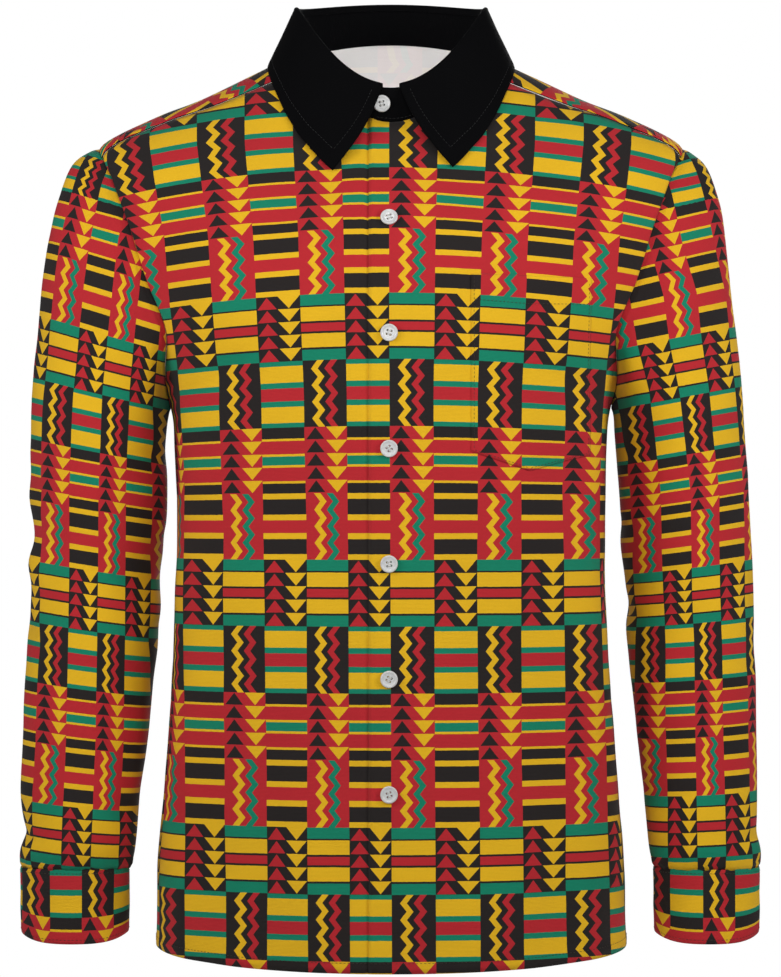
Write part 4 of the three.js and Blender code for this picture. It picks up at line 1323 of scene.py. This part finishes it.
def pocket_stitching():
    mesh = bmesh.new()
    surface = pocket_surface()
    inset, low = 2.2 / POCKET_WIDTH, 2.2 / POCKET_HEIGHT
    point_s = (POCKET["point_x"] - POCKET["inner"]) / (POCKET["outer"] - POCKET["inner"])
    stitch_row(mesh, surface, straight((inset, 0.985), (inset, low), 60))
    stitch_row(mesh, surface, straight((inset, low), (point_s, low), 24))
    stitch_row(mesh, surface, straight((point_s, low), (1 - inset, low), 24))
    stitch_row(mesh, surface, straight((1 - inset, low), (1 - inset, 0.985), 60))
    stitch_row(mesh, surface, straight((inset, 0.855), (1 - inset, 0.855), 40))
    finish_stitches("pocket_stitching", mesh, dark_thread())


def cuff_stitching(side):
    mesh = bmesh.new()
    surface = cuff_surface(side)
    for t in (0.055, 0.945):
        stitch_row(mesh, surface, straight((0.012, t), (0.9, t), 140))
    stitch_row(mesh, surface, straight((0.012, 0.055), (0.012, 0.945), 24))
    finish_stitches(f"cuff_{side}_stitching", mesh, dark_thread())


def collar_stitching():
    black = thread_material("black_thread", from_screen(22, 22, 23))
    mesh = bmesh.new()
    surface = leaf_surface()
    stitch_row(mesh, surface, straight((0.014, 0.13), (0.986, 0.13), 200))
    for s in (0.014, 0.986):
        stitch_row(mesh, surface, straight((s, 0.13), (s, 0.8), 50))
    stand = stand_surface()
    stitch_row(mesh, stand, straight((0.012, 0.1), (0.988, 0.1), 200))
    finish_stitches("collar_stitching", mesh, black)


# Distance of each of a button's four holes from its middle lines
HOLE_OFFSET = 1.45


def button_mesh():
    """A four-hole button with a raised rim, its back at zero in its own XY plane."""
    sizes = bpy.context.scene.shirt_sizes
    radius = sizes.button_diameter / MM / 2
    profile = (
        (0, 0),
        (radius - 1.4, 0),
        (radius - 0.5, 0.25),
        (radius, 0.95),
        (radius - 0.05, 1.6),
        (radius - 0.4, 2.15),
        (radius - 0.85, 2.35),
        (radius - 1.35, 2.25),
        (radius - 1.9, 1.85),
        (radius - 2.5, 1.65),
        (radius - 3.6, 1.68),
        (0, 1.8),
    )
    mesh = bmesh.new()
    verts = [mesh.verts.new((x, 0, z)) for x, z in profile]
    for first, second in zip(verts, verts[1:]):
        mesh.edges.new((first, second))
    bmesh.ops.spin(
        mesh,
        geom=mesh.verts[:] + mesh.edges[:],
        cent=(0, 0, 0),
        axis=(0, 0, 1),
        angle=math.tau,
        steps=48,
        use_merge=True,
    )
    bmesh.ops.remove_doubles(mesh, verts=mesh.verts[:], dist=1e-4)
    bmesh.ops.recalc_face_normals(mesh, faces=mesh.faces[:])
    disc = finish_mesh("button_disc", mesh)
    drill = bmesh.new()
    for x, y in ((1, 1), (1, -1), (-1, 1), (-1, -1)):
        bmesh.ops.create_cone(
            drill,
            cap_ends=True,
            segments=16,
            radius1=0.85,
            radius2=0.85,
            depth=8,
            matrix=Matrix.Translation((x * HOLE_OFFSET, y * HOLE_OFFSET, 0)),
        )
    holes = finish_mesh("button_holes", drill)
    cut = disc.modifiers.new("Holes", "BOOLEAN")
    cut.operation = "DIFFERENCE"
    cut.object = holes
    cut.solver = "EXACT"
    bpy.context.view_layer.update()
    result = bpy.data.meshes.new_from_object(disc.evaluated_get(bpy.context.evaluated_depsgraph_get()))
    for extra in (disc, holes):
        bpy.data.objects.remove(extra)
    return result


def add_thread(mesh, first, last, thick):
    """A loop of thread that rises out of one hole and goes down the other."""
    steps = 7
    for at in range(steps):
        turns = [math.pi * (at + end) / steps for end in (0, 1)]
        ends = []
        for turn in turns:
            share = (1 - math.cos(turn)) / 2
            rise = Vector((0, 0, 1.35 + 0.75 * math.sin(turn) ** 0.6))
            ends.append(Vector(first).lerp(Vector(last), share) + rise)
        along = ends[1] - ends[0]
        turn = along.to_track_quat("X", "Z").to_matrix().to_4x4()
        size = Matrix.Diagonal((along.length * 1.3, thick, thick, 1))
        middle = Matrix.Translation((ends[0] + ends[1]) / 2)
        bmesh.ops.create_uvsphere(mesh, u_segments=8, v_segments=6, radius=0.5, matrix=middle @ turn @ size)


def place_button(shape, threads, name, node, point, normal, clearance, turn):
    base = Vector(point) + Vector(normal) * clearance
    facing = Vector(normal).to_track_quat("Z", "Y").to_matrix().to_4x4()
    turned = Matrix.Rotation(math.radians(turn), 4, "Z")
    matrix = Matrix.Scale(MM, 4) @ Matrix.Translation(base) @ facing @ turned
    data = shape.copy()
    data.name = name
    data.transform(matrix)
    made = bpy.data.objects.new(name, data)
    bpy.context.scene.collection.objects.link(made)
    made.data.materials.clear()
    made.data.materials.append(pearl_plastic())
    data.shade_smooth()
    settle(made, "white_button", node)
    for offset in (-HOLE_OFFSET, HOLE_OFFSET):
        for shift in (-0.22, 0.22):
            loop = bmesh.new()
            across = offset + shift
            add_thread(loop, (-HOLE_OFFSET, across, 0), (HOLE_OFFSET, across, 0), 0.42)
            bmesh.ops.transform(loop, matrix=matrix, verts=loop.verts[:])
            temporary = bpy.data.meshes.new("thread")
            loop.to_mesh(temporary)
            loop.free()
            threads.from_mesh(temporary)
            bpy.data.meshes.remove(temporary)


def all_buttons():
    shape = button_mesh()
    threads = bmesh.new()
    stand_point = stand_ring_point(-5.5, 0.5, 0)
    stand_normal = Vector((-0.08, -1, 0.02)).normalized()
    place_button(shape, threads, "button_1_plastic", "button_1", stand_point, stand_normal, 1.3, 12)
    for count, height in enumerate(BUTTON_HEIGHTS):
        angle, level = front_place(BUTTON_X, height)
        place_button(
            shape,
            threads,
            f"button_{count + 2}_plastic",
            f"button_{count + 2}",
            body_point(angle, level),
            body_normal(angle, level),
            0.9,
            (20, -14, 35, 8, -28, 16)[count],
        )
    for side, sign in (("left", 1), ("right", -1)):
        middle_x, top_width, low_width = CUFFS[side]
        turn = math.radians(CUFF_LAP_ANGLE)
        half_width = (top_width + low_width) / 2
        point = Vector(
            (
                sign * (middle_x + half_width * math.cos(turn)),
                CUFF_MIDDLE_Y - CUFF_HALF_DEPTH * math.sin(turn),
                CUFF_TOP - CUFF_HEIGHT / 2,
            )
        )
        outward = Vector((sign * math.cos(turn) / top_width, -math.sin(turn) / CUFF_HALF_DEPTH, 0))
        name = f"cuff_button_{side}"
        place_button(shape, threads, f"{name}_plastic", name, point, outward.normalized(), 1.2, 10)
    made = finish_mesh("button_threads", threads)
    made.data.materials.append(thread_material("white_thread", from_screen(232, 230, 224)))
    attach(made, "root")
    bpy.data.meshes.remove(shape)


def pale_floor():
    """A round pale floor well below the shirt."""
    mesh = bmesh.new()
    middle = Matrix.Translation((0, 0.2, -1.05))
    bmesh.ops.create_circle(mesh, cap_ends=True, segments=96, radius=2.4, matrix=middle)
    floor = finish_mesh("studio_floor", mesh, smooth_faces=False)
    wiring = Wiring("pale_floor")
    spot = wiring.object_place()
    cloud = wiring.noise(spot, 2.0, 2.0)
    colour = wiring.mix(cloud, (0.82, 0.82, 0.82, 1), (0.88, 0.88, 0.88, 1))
    floor.data.materials.append(finish_cloth(wiring, colour, cloud, 0.9, 0.0, 0.0001))


def studio_world():
    world = bpy.data.worlds.new("studio")
    bpy.context.scene.world = world
    world.use_nodes = True
    tree = world.node_tree
    tree.nodes.clear()
    ambient, backdrop = (tree.nodes.new("ShaderNodeBackground") for _ in range(2))
    for background in (ambient, backdrop):
        background.inputs["Color"].default_value = (1, 1, 1, 1)
    ambient.inputs["Strength"].default_value = bpy.context.scene.shirt_sizes.ambient_light
    path = tree.nodes.new("ShaderNodeLightPath")
    mix = tree.nodes.new("ShaderNodeMixShader")
    out = tree.nodes.new("ShaderNodeOutputWorld")
    for socket, source in zip(mix.inputs, (path, ambient, backdrop)):
        tree.links.new(source.outputs[0], socket)
    tree.links.new(mix.outputs[0], out.inputs[0])


def soft_light(name, place, target, size, power):
    data = bpy.data.lights.new(name, "AREA")
    data.shape = "DISK"
    data.size = size
    data.energy = power
    light = bpy.data.objects.new(name, data)
    light.location = place
    light.visible_camera = False
    light.rotation_euler = (Vector(target) - Vector(place)).to_track_quat("-Z", "Y").to_euler()
    bpy.context.scene.collection.objects.link(light)


def photo_camera():
    """The photograph's view: level, 4 m in front, with a lens worked out for a frame of 781 by 977."""
    width, height = 781, 977
    data = bpy.data.cameras.new("camera")
    data.sensor_fit = "AUTO"
    data.sensor_width = 36
    data.lens = 36 * 4000 / (max(width, height) * 0.8)
    data.clip_end = 50
    camera = bpy.data.objects.new("camera", data)
    camera.location = (-0.0004, -4, -0.3108)
    camera.rotation_euler = (math.pi / 2, 0, 0)
    bpy.context.scene.collection.objects.link(camera)
    bpy.context.scene.camera = camera


COLOUR = {"subtype": "COLOR", "size": 3, "min": 0, "max": 1}


class KentePrintLook(bpy.types.PropertyGroup):
    yellow: bpy.props.FloatVectorProperty(
        name="Yellow", description="Yellow of the print", default=from_screen(232, 182, 28), **COLOUR
    )
    red: bpy.props.FloatVectorProperty(
        name="Red", description="Red of the print", default=from_screen(186, 38, 46), **COLOUR
    )
    green: bpy.props.FloatVectorProperty(
        name="Green", description="Green of the print", default=from_screen(14, 130, 100), **COLOUR
    )
    black: bpy.props.FloatVectorProperty(
        name="Charcoal", description="Near black of the print", default=from_screen(36, 31, 30), **COLOUR
    )
    collar: bpy.props.FloatVectorProperty(
        name="Collar", description="Plain black of the collar", default=from_screen(5, 5, 6), **COLOUR
    )
    button: bpy.props.FloatVectorProperty(
        name="Buttons", description="White of the buttons", default=from_screen(214, 214, 212), **COLOUR
    )
    thread_fineness: bpy.props.FloatProperty(
        name="Weave fineness",
        description="Threads of the weave in one block of the print",
        default=16,
        min=4,
        max=60,
    )


class ShirtSizes(bpy.types.PropertyGroup):
    button_diameter: bpy.props.FloatProperty(
        name="Button diameter",
        description="Width of every button",
        default=0.0136,
        min=0.009,
        max=0.02,
        subtype="DISTANCE",
        unit="LENGTH",
    )
    ambient_light: bpy.props.FloatProperty(
        name="Ambient light",
        description="Strength of the even light from all round",
        default=0.07,
        min=0,
        max=3,
    )


class SHIRT_OT_fronts(bpy.types.Operator):
    """Make the two printed fronts, the wearer's left lapping over the right"""

    bl_idname = "shirt.fronts"
    bl_label = "Fronts"

    def execute(self, context):
        front_cloth("left")
        front_cloth("right")
        return {"FINISHED"}


class SHIRT_OT_back_and_yoke(bpy.types.Operator):
    """Make the back and the yoke over both shoulders"""

    bl_idname = "shirt.back_and_yoke"
    bl_label = "Back and Yoke"

    def execute(self, context):
        back_cloth()
        yoke_cloth()
        return {"FINISHED"}


class SHIRT_OT_sleeves(bpy.types.Operator):
    """Make both set-in sleeves with their elbow folds and gathers"""

    bl_idname = "shirt.sleeves"
    bl_label = "Sleeves"

    def execute(self, context):
        sleeve_cloth("left")
        sleeve_cloth("right")
        return {"FINISHED"}


class SHIRT_OT_cuffs(bpy.types.Operator):
    """Make both buttoned cuffs and their stitching"""

    bl_idname = "shirt.cuffs"
    bl_label = "Cuffs"

    def execute(self, context):
        for side in ("left", "right"):
            cuff_cloth(side)
            cuff_stitching(side)
        return {"FINISHED"}


class SHIRT_OT_collar(bpy.types.Operator):
    """Make the black collar stand and the turned-down leaf"""

    bl_idname = "shirt.collar"
    bl_label = "Collar"

    def execute(self, context):
        collar_cloth()
        collar_stitching()
        return {"FINISHED"}


class SHIRT_OT_pocket(bpy.types.Operator):
    """Make the patch pocket and its stitching"""

    bl_idname = "shirt.pocket"
    bl_label = "Pocket"

    def execute(self, context):
        pocket_cloth()
        pocket_stitching()
        return {"FINISHED"}


class SHIRT_OT_body_stitching(bpy.types.Operator):
    """Lay the stitches of the hem and the yoke seams"""

    bl_idname = "shirt.body_stitching"
    bl_label = "Hem and Yoke Stitching"

    def execute(self, context):
        body_stitching()
        return {"FINISHED"}


class SHIRT_OT_buttons(bpy.types.Operator):
    """Make the seven front buttons and the two cuff buttons with their thread"""

    bl_idname = "shirt.buttons"
    bl_label = "Buttons"

    def execute(self, context):
        all_buttons()
        return {"FINISHED"}


class SHIRT_OT_stage(bpy.types.Operator):
    """Set up the pale floor, the soft lights and the camera"""

    bl_idname = "shirt.stage"
    bl_label = "Stage"

    def execute(self, context):
        pale_floor()
        studio_world()
        context.scene.view_settings.view_transform = "Standard"
        soft_light("right_light", (-1, -0.7, 0.07), (-0.1, 0, -0.25), 0.6, 7.4)
        soft_light("left_light", (1, -0.7, 0.07), (0.1, 0, -0.25), 0.6, 7.6)
        soft_light("front_light", (0, -1, 0), (0, 0, -0.3), 0.6, 3)
        soft_light("neck_light", (0, -0.55, 0.6), (0, 0.08, -0.02), 0.2, 0.9)
        soft_light("inside_light", (0, -0.02, -0.1), (0, 0.085, -0.02), 0.08, 0.12)
        soft_light("back_light", (0.3, 2.4, 0.6), (0, 0, -0.3), 2, 45)
        photo_camera()
        return {"FINISHED"}


class SHIRT_PT_parts(bpy.types.Panel):
    """Lists the parts of the shirt, with its colours and sizes"""

    bl_idname = "SHIRT_PT_parts"
    bl_label = "Kente Print Shirt"
    bl_space_type = "VIEW_3D"
    bl_region_type = "UI"
    bl_category = "Shirt"

    def draw(self, context):
        column = self.layout.column(align=True)
        for operator in OPERATORS:
            column.operator(operator.bl_idname)
        for group in (context.scene.kente_print, context.scene.shirt_sizes):
            box = self.layout.box()
            for name in group.__annotations__:
                box.prop(group, name)


OPERATORS = (
    SHIRT_OT_fronts,
    SHIRT_OT_back_and_yoke,
    SHIRT_OT_sleeves,
    SHIRT_OT_cuffs,
    SHIRT_OT_collar,
    SHIRT_OT_pocket,
    SHIRT_OT_body_stitching,
    SHIRT_OT_buttons,
    SHIRT_OT_stage,
)
CLASSES = (KentePrintLook, ShirtSizes, *OPERATORS, SHIRT_PT_parts)


def register():
    for each in CLASSES:
        bpy.utils.register_class(each)
    bpy.types.Scene.kente_print = bpy.props.PointerProperty(type=KentePrintLook)
    bpy.types.Scene.shirt_sizes = bpy.props.PointerProperty(type=ShirtSizes)


def unregister():
    del bpy.types.Scene.shirt_sizes
    del bpy.types.Scene.kente_print
    for each in reversed(CLASSES):
        bpy.utils.unregister_class(each)


def main():
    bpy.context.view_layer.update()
    register()
    bpy.ops.shirt.fronts()
    bpy.ops.shirt.back_and_yoke()
    bpy.ops.shirt.sleeves()
    bpy.ops.shirt.cuffs()
    bpy.ops.shirt.collar()
    bpy.ops.shirt.pocket()
    bpy.ops.shirt.body_stitching()
    bpy.ops.shirt.buttons()
    bpy.ops.shirt.stage()


if __name__ == "__main__":
    main()
